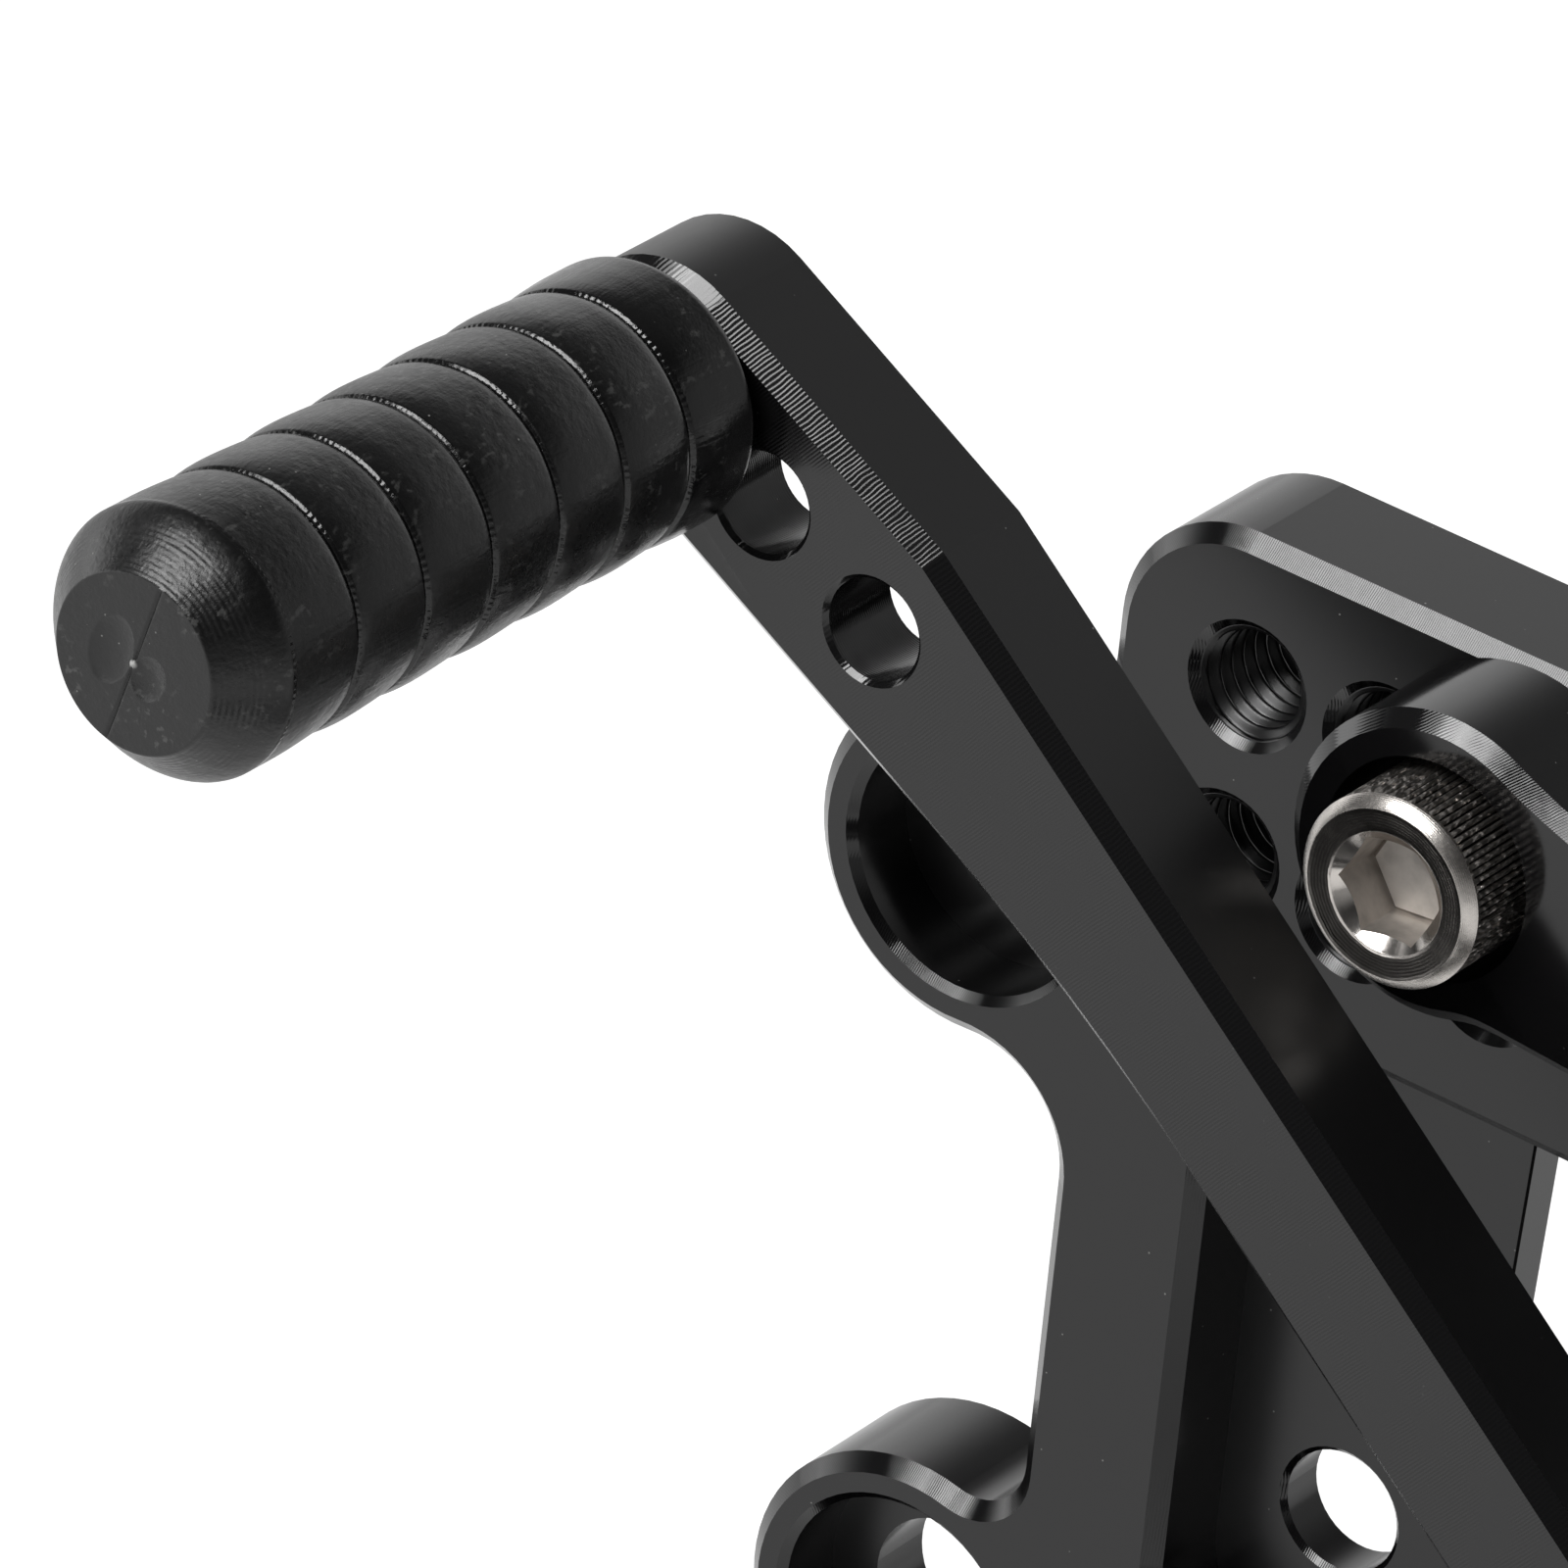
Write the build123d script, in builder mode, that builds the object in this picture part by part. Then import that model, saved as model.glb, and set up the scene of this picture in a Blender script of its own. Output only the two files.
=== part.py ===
from build123d import *
import os
from math import cos, radians, sin, sqrt, tan

os.makedirs("parts", exist_ok=True)

# Left-hand rear set of a motorcycle, in millimetres. X runs rearward, Z up and -Y away from the
# motorcycle. The origin is on the upper frame bolt's axis, in the base plate's mounting face.
# A height is measured outward from that face.

# Clearances
SLIP = 0.02
RUNNING = 0.05
BOLT_ROOM = 0.2
THREAD_ROOM = 0.05

# Base plate
PLATE_T = 8.5
PLATE_EDGE = 0.85
BACK_EDGE = 0.4
FRONT_EDGE_X = 6.1
FRONT_EDGE_Z = 17.0
FRONT_EDGE_LEAN = 2.4
TOP_Z = 24.4
PLATE_REAR_X = 73.0
BLOCK_FLOOR_Z = -1.1
TOP_CORNER_R = 7.0
REAR_CORNER_R = 8.0
NOTCH_R = 3.0
FOOT_R = 6.0
RAIL_W = 8.7
WEB_REAR_X = 31.25
WEB_T = 2.9
WEB_EDGE = 0.12
POCKET_FLOOR_Z = -39.0
POCKET_CORNER_R = 5.5
UPPER_BOSS = (0.0, 0.0)
LOWER_BOSS = (2.3, -44.2)
BOSS_R = 9.4
UPPER_BLEND_R = 5.0
RAIL_BLEND_R = 6.0
LOWER_BLEND_R = 3.0
FOOT_DROP = 6.0
FRAME_BOLT_D = 8.0
FRAME_HEAD_D = 13.0
FRAME_HEAD_SEAT = 4.0
FRAME_HEAD_ROOM = 0.5
SEAT_EDGE = 0.45
WEB_HOLE = (23.75, -29.4)
WEB_HOLE_D = 6.6
WEB_HOLE_EDGE = 0.3

# Grid of tapped holes for the carrier
GRID_FIRST = (14.2, 7.05)
GRID_PITCH_X = 8.0
GRID_PITCH_Z = 9.5
GRID_COLUMNS = 3
GRID_ROWS = 2
GRID_SPREAD = 32.0
CARRIER_COLUMN = 2
CARRIER_ROW = 1
TAP_EDGE = 0.5

# Foot-peg carrier and its cap screws
CARRIER_T = 8.2
CARRIER_EDGE = 0.8
LOBE_R = 8.0
SCALLOP_R = 28.0
WAIST_DROP = 6.95
WAIST_SLOPE = 4.0
WAIST_BLEND_R = 6.0
ELBOW_R = 20.0
CARRIER_BOSS_R = 14.5
SCREW_D = 6.0
SCREW_HEAD_D = 10.0
SCREW_HEAD_H = 6.0
SCREW_HEX = 5.0
SCREW_HEX_DEPTH = 3.2
SCREW_LENGTH = 11.5
SCREW_RIM = 0.6
SCREW_SEAT_DEPTH = 2.5
SCREW_SEAT_ROOM = 0.8

# Shift lever
PIVOT = (78.75, -34.8)
LEVER_GAP = 4.6
LEVER_T = 7.4
LEVER_EDGE = 0.9
LEVER_BACK_EDGE = 0.3
TOE_CENTRE = (-9.25, 31.3)
TOE_HOLE = (-9.15, 30.9)
TOE_R = 5.9
TOE_ANGLE = -29.0
TOE_PITCH = 8.15
TOE_HOLES = 3
SHANK_ANGLE = -39.2
SHANK_TOP_R = 4.3
SHANK_LOW_R = 4.0
SHANK_SWEEP_R = 120.0
HUB_R = 14.5
HUB_BLEND_R = 12.0
ROD_ARM = 32.0
ROD_ARM_ANGLE = -100.0
ROD_ARM_W = 10.0
ROD_EYE_R = 7.0
ROD_HOLE_D = 6.1

# Toe peg and its countersunk screw
TOE_PEG_D = 13.9
TOE_PEG_LENGTH = 40.3
TOE_FOOT_D = 9.0
TOE_FOOT = 1.2
TOE_COLLAR = 5.85
TOE_RING_PITCH = 5.2
TOE_RINGS = 6
TOE_NOSE = 1.4
TOE_NOSE_DROP = 0.15
TOE_GROOVE = 0.38
TOE_SHOULDER = 0.15
TOE_RAMP = 1.5
TOE_TIP_D = 9.0
TOE_CONE_D = 12.2
TOE_CONE = 1.9
TOE_BLEND = 1.3
TOE_SCREW_D = 5.0
TOE_SCREW_ROOM = 0.15
TOE_SCREW_HEAD_D = 9.2
TOE_SCREW_HEX = 3.0
TOE_SCREW_HEX_DEPTH = 1.8
TOE_SCREW_REACH = 14.0
TOE_HOLE_SPARE = 2.0
TOE_HOLE_EDGE = 0.25

# Lever bearing
BEARING_BORE = 12.0
BEARING_OD = 21.0
BEARING_W = 5.0
BEARING_LIP = 1.0
LIP_W = 1.6
BALL_D = 2.4
BALLS = 10
RACE_GAP = 1.9
SHIELD_T = 0.3
SHIELD_INSET = 0.2
SHIELD_GAP = 0.1
CAGE_T = 0.7
CAGE_W = 3.0
POCKET_ROOM = 0.08
CLIP_T = 1.0
CLIP_GROOVE = 0.7
CLIP_W = 1.5
CLIP_GAP = 50.0
CLIP_EAR_R = 1.3
CLIP_EAR_HOLE_D = 1.2

# Pivot stack
PIVOT_BOLT_D = 8.0
PIVOT_HEAD_D = 13.0
PIVOT_HEAD_H = 8.0
PIVOT_HEX = 6.0
PIVOT_HEX_DEPTH = 4.0
PIVOT_SEAT_DEPTH = 5.0
PIVOT_SEAT_ROOM = 0.5
PIVOT_REACH = 18.0
LOCK_WASHER_T = 1.6
LOCK_WASHER_GAP = 2.0
SLEEVE_SHOULDER_D = 16.0
PEG_WASHER_D = 15.0
PEG_WASHER_T = 2.4

# Foot peg
PEG_D = 21.0
PEG_LENGTH = 80.0
PEG_COLLAR = 8.0
PEG_EDGE = 1.0
PEG_END_LAND = 5.0
KNURL_PITCH = 8.0
KNURL_DEPTH = 0.9
KNURL_W = 2.2
FLUTES = 10
FLUTE_DEPTH = 1.3
FLUTE_W = 2.4
PEG_TAP_SPARE = 4.0
CAP_T = 6.0
CAP_FLANGE = 1.0
CAP_DOME_R = 2.5
CAP_SPIGOT_D = 12.0
CAP_SPIGOT_LENGTH = 6.0
CAP_SCREW_D = 5.0
CAP_SCREW_HEAD_D = 8.5
CAP_SCREW_HEX = 4.0
CAP_SCREW_HEX_DEPTH = 2.5
CAP_SCREW_REACH = 12.0
CAP_SCREW_FLOOR = 3.0

# Heights of the stack
CARRIER_FRONT = PLATE_T + CARRIER_T
LEVER_BACK = CARRIER_FRONT + LEVER_GAP
LEVER_FRONT = LEVER_BACK + LEVER_T
BEARING_BACK = LEVER_BACK + BEARING_LIP
BEARING_FRONT = BEARING_BACK + BEARING_W
PEG_FACE = BEARING_FRONT + PEG_WASHER_T
PEG_END = PEG_FACE + PEG_LENGTH


def level(height):
    """Plane parallel to the mounting face, with x rearward and y up, facing outward."""
    return Plane.XZ.offset(height)


def facing_in(point, height):
    """Plane at a point and height that faces the motorcycle."""
    return Plane(origin=(point[0], -height, point[1]), x_dir=(1, 0, 0), z_dir=(0, 1, 0))


def turning(point, height):
    """Plane of a turned profile: x is the radius and y the height above its seat."""
    return Plane(origin=(point[0], -height, point[1]), x_dir=(1, 0, 0), z_dir=(0, 0, -1))


def turning_axis(point):
    """Axis of a turned piece, pointing outward."""
    return Axis((point[0], 0, point[1]), (0, -1, 0))


def polar(centre, radius, angle):
    """Point at a radius and an angle in degrees from a centre."""
    return (centre[0] + radius * cos(radians(angle)), centre[1] + radius * sin(radians(angle)))


def crossing(first, first_angle, second, second_angle):
    """Point where two lines meet, each given by a point and an angle in degrees."""
    ax, az = cos(radians(first_angle)), sin(radians(first_angle))
    bx, bz = cos(radians(second_angle)), sin(radians(second_angle))
    dx, dz = second[0] - first[0], second[1] - first[1]
    along = (dx * bz - dz * bx) / (ax * bz - az * bx)
    return (first[0] + along * ax, first[1] + along * az)


def nearest(sketch, point):
    """The corner of a sketch that is nearest to a point of its plane."""
    return sketch.vertices().sort_by_distance((*point, 0))[0]


def front_edge_x(z):
    """Place of the base plate's leaning front edge at a height z."""
    return FRONT_EDGE_X + (FRONT_EDGE_Z - z) * tan(radians(FRONT_EDGE_LEAN))


# Hole places that the pieces share
grid_holes = [
    (GRID_FIRST[0] + group * GRID_SPREAD + column * GRID_PITCH_X, GRID_FIRST[1] + row * GRID_PITCH_Z)
    for group in range(2) for column in range(GRID_COLUMNS) for row in range(GRID_ROWS)
]
front_screw = (GRID_FIRST[0] + CARRIER_COLUMN * GRID_PITCH_X, GRID_FIRST[1] + CARRIER_ROW * GRID_PITCH_Z)
rear_screw = (front_screw[0] + GRID_SPREAD, front_screw[1])
spare_holes = [polar(TOE_CENTRE, number * TOE_PITCH, TOE_ANGLE) for number in range(1, TOE_HOLES)]
toe_holes = [TOE_HOLE, *spare_holes]
rod_hole = polar(PIVOT, ROD_ARM, ROD_ARM_ANGLE)

# Base plate: block with the tapped grid, rail with two frame bosses, and a thinner web
foot_z = LOWER_BOSS[1] - FOOT_DROP
frame_seat_r = FRAME_HEAD_D / 2 + FRAME_HEAD_ROOM
with BuildPart() as base_plate:
    with BuildSketch(level(0)) as outline:
        top_front = (front_edge_x(TOP_Z), TOP_Z)
        top_rear = (PLATE_REAR_X, TOP_Z)
        block_rear = (PLATE_REAR_X, BLOCK_FLOOR_Z)
        notch = (WEB_REAR_X, BLOCK_FLOOR_Z)
        foot_rear = (WEB_REAR_X, foot_z)
        foot_front = (front_edge_x(foot_z), foot_z)
        with BuildLine():
            Polyline(top_front, top_rear, block_rear, notch, foot_rear, foot_front, close=True)
        make_face()
        fillet(nearest(outline, top_front), TOP_CORNER_R)
        fillet([nearest(outline, corner) for corner in (top_rear, block_rear)], REAR_CORNER_R)
        fillet(nearest(outline, notch), NOTCH_R)
        fillet(nearest(outline, foot_rear), FOOT_R)
        with Locations(UPPER_BOSS, LOWER_BOSS):
            Circle(BOSS_R)
        for boss, side, blend in (
            (UPPER_BOSS, 1, UPPER_BLEND_R), (UPPER_BOSS, -1, RAIL_BLEND_R), (LOWER_BOSS, 1, LOWER_BLEND_R)
        ):
            reach = sqrt(BOSS_R**2 - (front_edge_x(boss[1]) - boss[0])**2)
            corner = (front_edge_x(boss[1] + side * reach), boss[1] + side * reach)
            fillet(nearest(outline, corner), blend)
        foot_meet = (LOWER_BOSS[0] + sqrt(BOSS_R**2 - FOOT_DROP**2), foot_z)
        fillet(nearest(outline, foot_meet), LOWER_BLEND_R)
    extrude(amount=PLATE_T)
    with BuildSketch(level(PLATE_T)) as pocket:
        rail_top = (front_edge_x(BLOCK_FLOOR_Z) + RAIL_W, BLOCK_FLOOR_Z)
        rail_foot = (front_edge_x(POCKET_FLOOR_Z) + RAIL_W, POCKET_FLOOR_Z)
        foot_side = (PLATE_REAR_X, POCKET_FLOOR_Z)
        with BuildLine():
            Polyline(rail_top, rail_foot, foot_side, block_rear, close=True)
        make_face()
        fillet([nearest(pocket, corner) for corner in (rail_top, rail_foot)], POCKET_CORNER_R)
    extrude(amount=WEB_T - PLATE_T, mode=Mode.SUBTRACT)
    chamfer(base_plate.faces().sort_by(Axis.Y)[0].edges(), PLATE_EDGE)
    chamfer(base_plate.faces().sort_by(Axis.Y)[-1].edges(), BACK_EDGE)
    web_face = base_plate.faces().filter_by(Axis.Y).sort_by_distance((WEB_HOLE[0], -WEB_T, WEB_HOLE[1]))[0]
    chamfer(web_face.edges().filter_by(Axis.Z).sort_by(Axis.X)[-1], WEB_EDGE)
    with Locations(level(PLATE_T)):
        with Locations(UPPER_BOSS, LOWER_BOSS):
            CounterBoreHole(FRAME_BOLT_D / 2 + BOLT_ROOM, frame_seat_r, PLATE_T - FRAME_HEAD_SEAT)
        with Locations(*grid_holes):
            CounterSinkHole(SCREW_D / 2 + THREAD_ROOM, SCREW_D / 2 + TAP_EDGE, counter_sink_angle=90)
    with Locations(level(WEB_T)):
        with Locations(WEB_HOLE):
            CounterSinkHole(WEB_HOLE_D / 2, WEB_HOLE_D / 2 + WEB_HOLE_EDGE, counter_sink_angle=90)
    mouths = base_plate.edges().filter_by(GeomType.CIRCLE).group_by(Axis.Y)[0]
    chamfer(mouths.filter_by(lambda edge: abs(edge.radius - frame_seat_r) < SLIP), SEAT_EDGE)
base_plate.part.label = "base_plate"
export_step(base_plate.part, "parts/base_plate.step")

# Foot-peg carrier: two screw lobes, a scalloped bar and an arm down to the peg's boss
scallop_lean = GRID_SPREAD / 2 / (SCALLOP_R + LOBE_R)
scallop_rise = LOBE_R * sqrt(1 - scallop_lean**2)
scallop_front = (front_screw[0] + LOBE_R * scallop_lean, front_screw[1] + scallop_rise)
scallop_rear = (rear_screw[0] - LOBE_R * scallop_lean, rear_screw[1] + scallop_rise)
scallop_low = (
    front_screw[0] + GRID_SPREAD / 2,
    front_screw[1] + (SCALLOP_R + LOBE_R) * sqrt(1 - scallop_lean**2) - SCALLOP_R,
)
waist_front = (front_screw[0], front_screw[1] - WAIST_DROP)
waist_rear = (rear_screw[0], waist_front[1] - GRID_SPREAD * tan(radians(WAIST_SLOPE)))
waist_meet = (front_screw[0] + sqrt(LOBE_R**2 - WAIST_DROP**2), waist_front[1])
with BuildPart() as peg_carrier:
    with BuildSketch(level(PLATE_T)) as outline:
        with Locations(rear_screw):
            Circle(LOBE_R)
        with Locations(PIVOT):
            Circle(CARRIER_BOSS_R)
        make_hull()
        with Locations(front_screw):
            Circle(LOBE_R)
        with BuildLine():
            ThreePointArc(scallop_front, scallop_low, scallop_rear)
            Polyline(scallop_rear, rear_screw, waist_rear, waist_front, front_screw, scallop_front)
        make_face()
        fillet(nearest(outline, waist_meet), WAIST_BLEND_R)
        elbow = (rear_screw[0] - LOBE_R, waist_rear[1])
        fillet(nearest(outline, elbow), ELBOW_R)
    extrude(amount=CARRIER_T)
    chamfer(peg_carrier.faces().sort_by(Axis.Y)[0].edges(), CARRIER_EDGE)
    chamfer(peg_carrier.faces().sort_by(Axis.Y)[-1].edges(), BACK_EDGE)
    with Locations(level(CARRIER_FRONT)):
        with Locations(front_screw, rear_screw):
            CounterBoreHole(SCREW_D / 2 + BOLT_ROOM, SCREW_HEAD_D / 2 + SCREW_SEAT_ROOM, SCREW_SEAT_DEPTH)
    with Locations(facing_in(PIVOT, PLATE_T)):
        CounterBoreHole(PIVOT_BOLT_D / 2 + BOLT_ROOM, PIVOT_HEAD_D / 2 + PIVOT_SEAT_ROOM, PIVOT_SEAT_DEPTH)
peg_carrier.part.label = "peg_carrier"
export_step(peg_carrier.part, "parts/peg_carrier.step")

# Cap screws that hold the carrier in the tapped grid
for name, place in (("carrier_screw_front", front_screw), ("carrier_screw_rear", rear_screw)):
    seat = CARRIER_FRONT - SCREW_SEAT_DEPTH
    with BuildPart() as carrier_screw:
        with BuildSketch(turning(place, seat)):
            screw_r = SCREW_D / 2
            head_r = SCREW_HEAD_D / 2
            with BuildLine():
                Polyline(
                    (0, -SCREW_LENGTH), (screw_r, -SCREW_LENGTH), (screw_r, 0), (head_r, 0),
                    (head_r, SCREW_HEAD_H - SCREW_RIM), (head_r - SCREW_RIM, SCREW_HEAD_H),
                    (0, SCREW_HEAD_H), close=True,
                )
            make_face()
        revolve(axis=turning_axis(place))
        with BuildSketch(level(seat + SCREW_HEAD_H)):
            with Locations(place):
                RegularPolygon(SCREW_HEX / 2, 6, major_radius=False)
        extrude(amount=-SCREW_HEX_DEPTH, mode=Mode.SUBTRACT)
    carrier_screw.part.label = name
    export_step(carrier_screw.part, f"parts/{name}.step")

# Shift lever: toe end with the peg's row of holes, bent shank, bearing hub and rod arm
toe_top = polar(TOE_CENTRE, TOE_R, TOE_ANGLE + 90)
toe_low = polar(TOE_CENTRE, TOE_R, TOE_ANGLE - 90)
shank_top = polar(PIVOT, SHANK_TOP_R, SHANK_ANGLE + 90)
shank_low = polar(PIVOT, SHANK_LOW_R, SHANK_ANGLE - 90)
top_bend = crossing(toe_top, TOE_ANGLE, shank_top, SHANK_ANGLE)
low_bend = crossing(toe_low, TOE_ANGLE, shank_low, SHANK_ANGLE)
arm_half = ROD_ARM_W / 2
arm_root = [polar(PIVOT, arm_half, ROD_ARM_ANGLE + side * 90) for side in (1, -1)]
arm_tip = [polar(rod_hole, arm_half, ROD_ARM_ANGLE + side * 90) for side in (-1, 1)]
with BuildPart() as shift_lever:
    with BuildSketch(level(LEVER_BACK)) as outline:
        with BuildLine():
            Polyline(TOE_CENTRE, toe_top, top_bend, shank_top, PIVOT, shank_low, low_bend, toe_low, close=True)
        make_face()
        fillet(nearest(outline, low_bend), SHANK_SWEEP_R)
        with Locations(TOE_CENTRE):
            Circle(TOE_R)
        with Locations(PIVOT):
            Circle(HUB_R)
        with BuildLine():
            Polyline(*arm_root, *arm_tip, close=True)
        make_face()
        with Locations(rod_hole):
            Circle(ROD_EYE_R)
        for side, half in ((shank_top, SHANK_TOP_R), (shank_low, SHANK_LOW_R)):
            hub_reach = sqrt(HUB_R**2 - half**2)
            fillet(nearest(outline, polar(side, hub_reach, SHANK_ANGLE + 180)), HUB_BLEND_R)
        arm_reach = sqrt(HUB_R**2 - arm_half**2)
        eye_reach = ROD_ARM - sqrt(ROD_EYE_R**2 - arm_half**2)
        for root in arm_root:
            fillet(nearest(outline, polar(root, arm_reach, ROD_ARM_ANGLE)), ROD_EYE_R)
            fillet(nearest(outline, polar(root, eye_reach, ROD_ARM_ANGLE)), ROD_EYE_R)
    extrude(amount=LEVER_T)
    chamfer(shift_lever.faces().sort_by(Axis.Y)[0].edges(), LEVER_EDGE)
    chamfer(shift_lever.faces().sort_by(Axis.Y)[-1].edges(), LEVER_BACK_EDGE)
    with BuildSketch(level(LEVER_BACK)):
        with Locations(*toe_holes):
            Circle(TOE_SCREW_D / 2 + TOE_SCREW_ROOM)
        with Locations(rod_hole):
            Circle(ROD_HOLE_D / 2)
    extrude(amount=LEVER_T, mode=Mode.SUBTRACT)
    sink_r = TOE_SCREW_HEAD_D / 2 + BOLT_ROOM
    with Locations(*[facing_in(hole, LEVER_BACK) for hole in toe_holes]):
        Cone(0, sink_r, sink_r, align=(Align.CENTER, Align.CENTER, Align.MAX), mode=Mode.SUBTRACT)
    with BuildSketch(turning(PIVOT, LEVER_BACK)):
        bore = BEARING_OD / 2 + SLIP
        clip_low = BEARING_LIP + BEARING_W
        clip_high = clip_low + CLIP_T + RUNNING
        with BuildLine():
            Polyline(
                (0, 0), (bore - LIP_W, 0), (bore - LIP_W, BEARING_LIP), (bore, BEARING_LIP), (bore, clip_low),
                (bore + CLIP_GROOVE, clip_low), (bore + CLIP_GROOVE, clip_high), (bore, clip_high),
                (bore, LEVER_T), (0, LEVER_T), close=True,
            )
        make_face()
    revolve(axis=turning_axis(PIVOT), mode=Mode.SUBTRACT)
    face_rims = shift_lever.edges().filter_by(GeomType.CIRCLE).group_by(Axis.Y)[0]
    chamfer(face_rims.filter_by(lambda edge: edge.radius < TOE_SCREW_D), TOE_HOLE_EDGE)
shift_lever.part.label = "shift_lever"
export_step(shift_lever.part, "parts/shift_lever.step")

# Toe peg: narrow foot, plain collar, rings with a dropped nose at each outer end, and a blunt tip
peg_r = TOE_PEG_D / 2
foot_r = TOE_FOOT_D / 2
cone_start = TOE_PEG_LENGTH - TOE_CONE
rings = []
for number in range(TOE_RINGS):
    shoulder = TOE_COLLAR + number * TOE_RING_PITCH
    valley = shoulder + TOE_SHOULDER
    rings += [
        (peg_r, shoulder - TOE_NOSE), (peg_r - TOE_NOSE_DROP, shoulder), (peg_r - TOE_GROOVE, valley),
        (peg_r, valley + TOE_RAMP),
    ]
with BuildPart() as toe_peg:
    with BuildSketch(turning(TOE_HOLE, LEVER_FRONT)):
        toe_tap_r = TOE_SCREW_D / 2 + THREAD_ROOM
        toe_tap_depth = TOE_SCREW_REACH + TOE_HOLE_SPARE
        with BuildLine():
            Polyline(
                (toe_tap_r, 0), (foot_r, 0), (foot_r, TOE_FOOT), (peg_r, TOE_FOOT), *rings,
                (peg_r, cone_start - TOE_BLEND), (TOE_CONE_D / 2, cone_start),
                (TOE_TIP_D / 2, TOE_PEG_LENGTH), (0, TOE_PEG_LENGTH), (0, toe_tap_depth),
                (toe_tap_r, toe_tap_depth), close=True,
            )
        make_face()
    revolve(axis=turning_axis(TOE_HOLE))
toe_peg.part.label = "toe_peg"
export_step(toe_peg.part, "parts/toe_peg.step")

# Countersunk screw that holds the toe peg from behind the lever
with BuildPart() as toe_peg_screw:
    with BuildSketch(turning(TOE_HOLE, LEVER_BACK)):
        sunk_r = TOE_SCREW_HEAD_D / 2
        toe_screw_r = TOE_SCREW_D / 2
        toe_screw_end = LEVER_T + TOE_SCREW_REACH
        with BuildLine():
            Polyline(
                (0, 0), (sunk_r, 0), (toe_screw_r, sunk_r - toe_screw_r), (toe_screw_r, toe_screw_end),
                (0, toe_screw_end), close=True,
            )
        make_face()
    revolve(axis=turning_axis(TOE_HOLE))
    with BuildSketch(level(LEVER_BACK)):
        with Locations(TOE_HOLE):
            RegularPolygon(TOE_SCREW_HEX / 2, 6, major_radius=False)
    extrude(amount=TOE_SCREW_HEX_DEPTH, mode=Mode.SUBTRACT)
toe_peg_screw.part.label = "toe_peg_screw"
export_step(toe_peg_screw.part, "parts/toe_peg_screw.step")

# Ball bearing in the lever's hub: two races with a groove, balls, cage and shields
pitch_r = (BEARING_BORE + BEARING_OD) / 4
inner_land_r = pitch_r - RACE_GAP / 2
outer_land_r = pitch_r + RACE_GAP / 2
groove_r = BALL_D / 2 + RUNNING
races = (
    ("bearing_inner_race", BEARING_BORE / 2, inner_land_r),
    ("bearing_outer_race", outer_land_r, BEARING_OD / 2),
)
for name, low_r, high_r in races:
    with BuildPart() as race:
        with BuildSketch(turning(PIVOT, BEARING_BACK)):
            with Locations(((low_r + high_r) / 2, BEARING_W / 2)):
                Rectangle(high_r - low_r, BEARING_W)
            with Locations((pitch_r, BEARING_W / 2)):
                Circle(groove_r, mode=Mode.SUBTRACT)
        revolve(axis=turning_axis(PIVOT))
    race.part.label = name
    export_step(race.part, f"parts/{name}.step")

with BuildPart() as bearing_balls:
    with Locations(level(BEARING_BACK + BEARING_W / 2)):
        with Locations(PIVOT):
            with PolarLocations(pitch_r, BALLS):
                Sphere(BALL_D / 2)
bearing_balls.part.label = "bearing_balls"
export_step(bearing_balls.part, "parts/bearing_balls.step")

with BuildPart() as bearing_cage:
    with BuildSketch(level(BEARING_BACK + (BEARING_W - CAGE_W) / 2)):
        with Locations(PIVOT):
            Circle(pitch_r + CAGE_T / 2)
            Circle(pitch_r - CAGE_T / 2, mode=Mode.SUBTRACT)
    extrude(amount=CAGE_W)
    with Locations(level(BEARING_BACK + BEARING_W / 2)):
        with Locations(PIVOT):
            with PolarLocations(pitch_r, BALLS):
                Cylinder(BALL_D / 2 + POCKET_ROOM, RACE_GAP, rotation=(0, 90, 0), mode=Mode.SUBTRACT)
bearing_cage.part.label = "bearing_cage"
export_step(bearing_cage.part, "parts/bearing_cage.step")

with BuildPart() as bearing_shields:
    for height in (SHIELD_INSET, BEARING_W - SHIELD_INSET - SHIELD_T):
        with BuildSketch(level(BEARING_BACK + height)):
            with Locations(PIVOT):
                Circle(outer_land_r - SLIP)
                Circle(inner_land_r + SHIELD_GAP, mode=Mode.SUBTRACT)
        extrude(amount=SHIELD_T)
bearing_shields.part.label = "bearing_shields"
export_step(bearing_shields.part, "parts/bearing_shields.step")

# Spring clip that keeps the bearing in the hub, open at the bottom between two eared ends
clip_r = BEARING_OD / 2 + CLIP_GROOVE - RUNNING
with BuildPart() as bearing_clip:
    with BuildSketch(level(BEARING_FRONT + RUNNING / 2)):
        ear_r = clip_r - CLIP_W - CLIP_EAR_R / 2
        ears = [polar(PIVOT, ear_r, -90 + side * CLIP_GAP / 2) for side in (-1, 1)]
        with Locations(PIVOT):
            Circle(clip_r)
            Circle(clip_r - CLIP_W, mode=Mode.SUBTRACT)
        with BuildLine():
            gap_ends = [polar(PIVOT, 2 * clip_r, -90 + side * CLIP_GAP / 2) for side in (-1, 1)]
            Polyline(PIVOT, *gap_ends, close=True)
        make_face(mode=Mode.SUBTRACT)
        with Locations(*ears):
            Circle(CLIP_EAR_R)
            Circle(CLIP_EAR_HOLE_D / 2, mode=Mode.SUBTRACT)
    extrude(amount=CLIP_T)
bearing_clip.part.label = "bearing_clip"
export_step(bearing_clip.part, "parts/bearing_clip.step")

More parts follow.
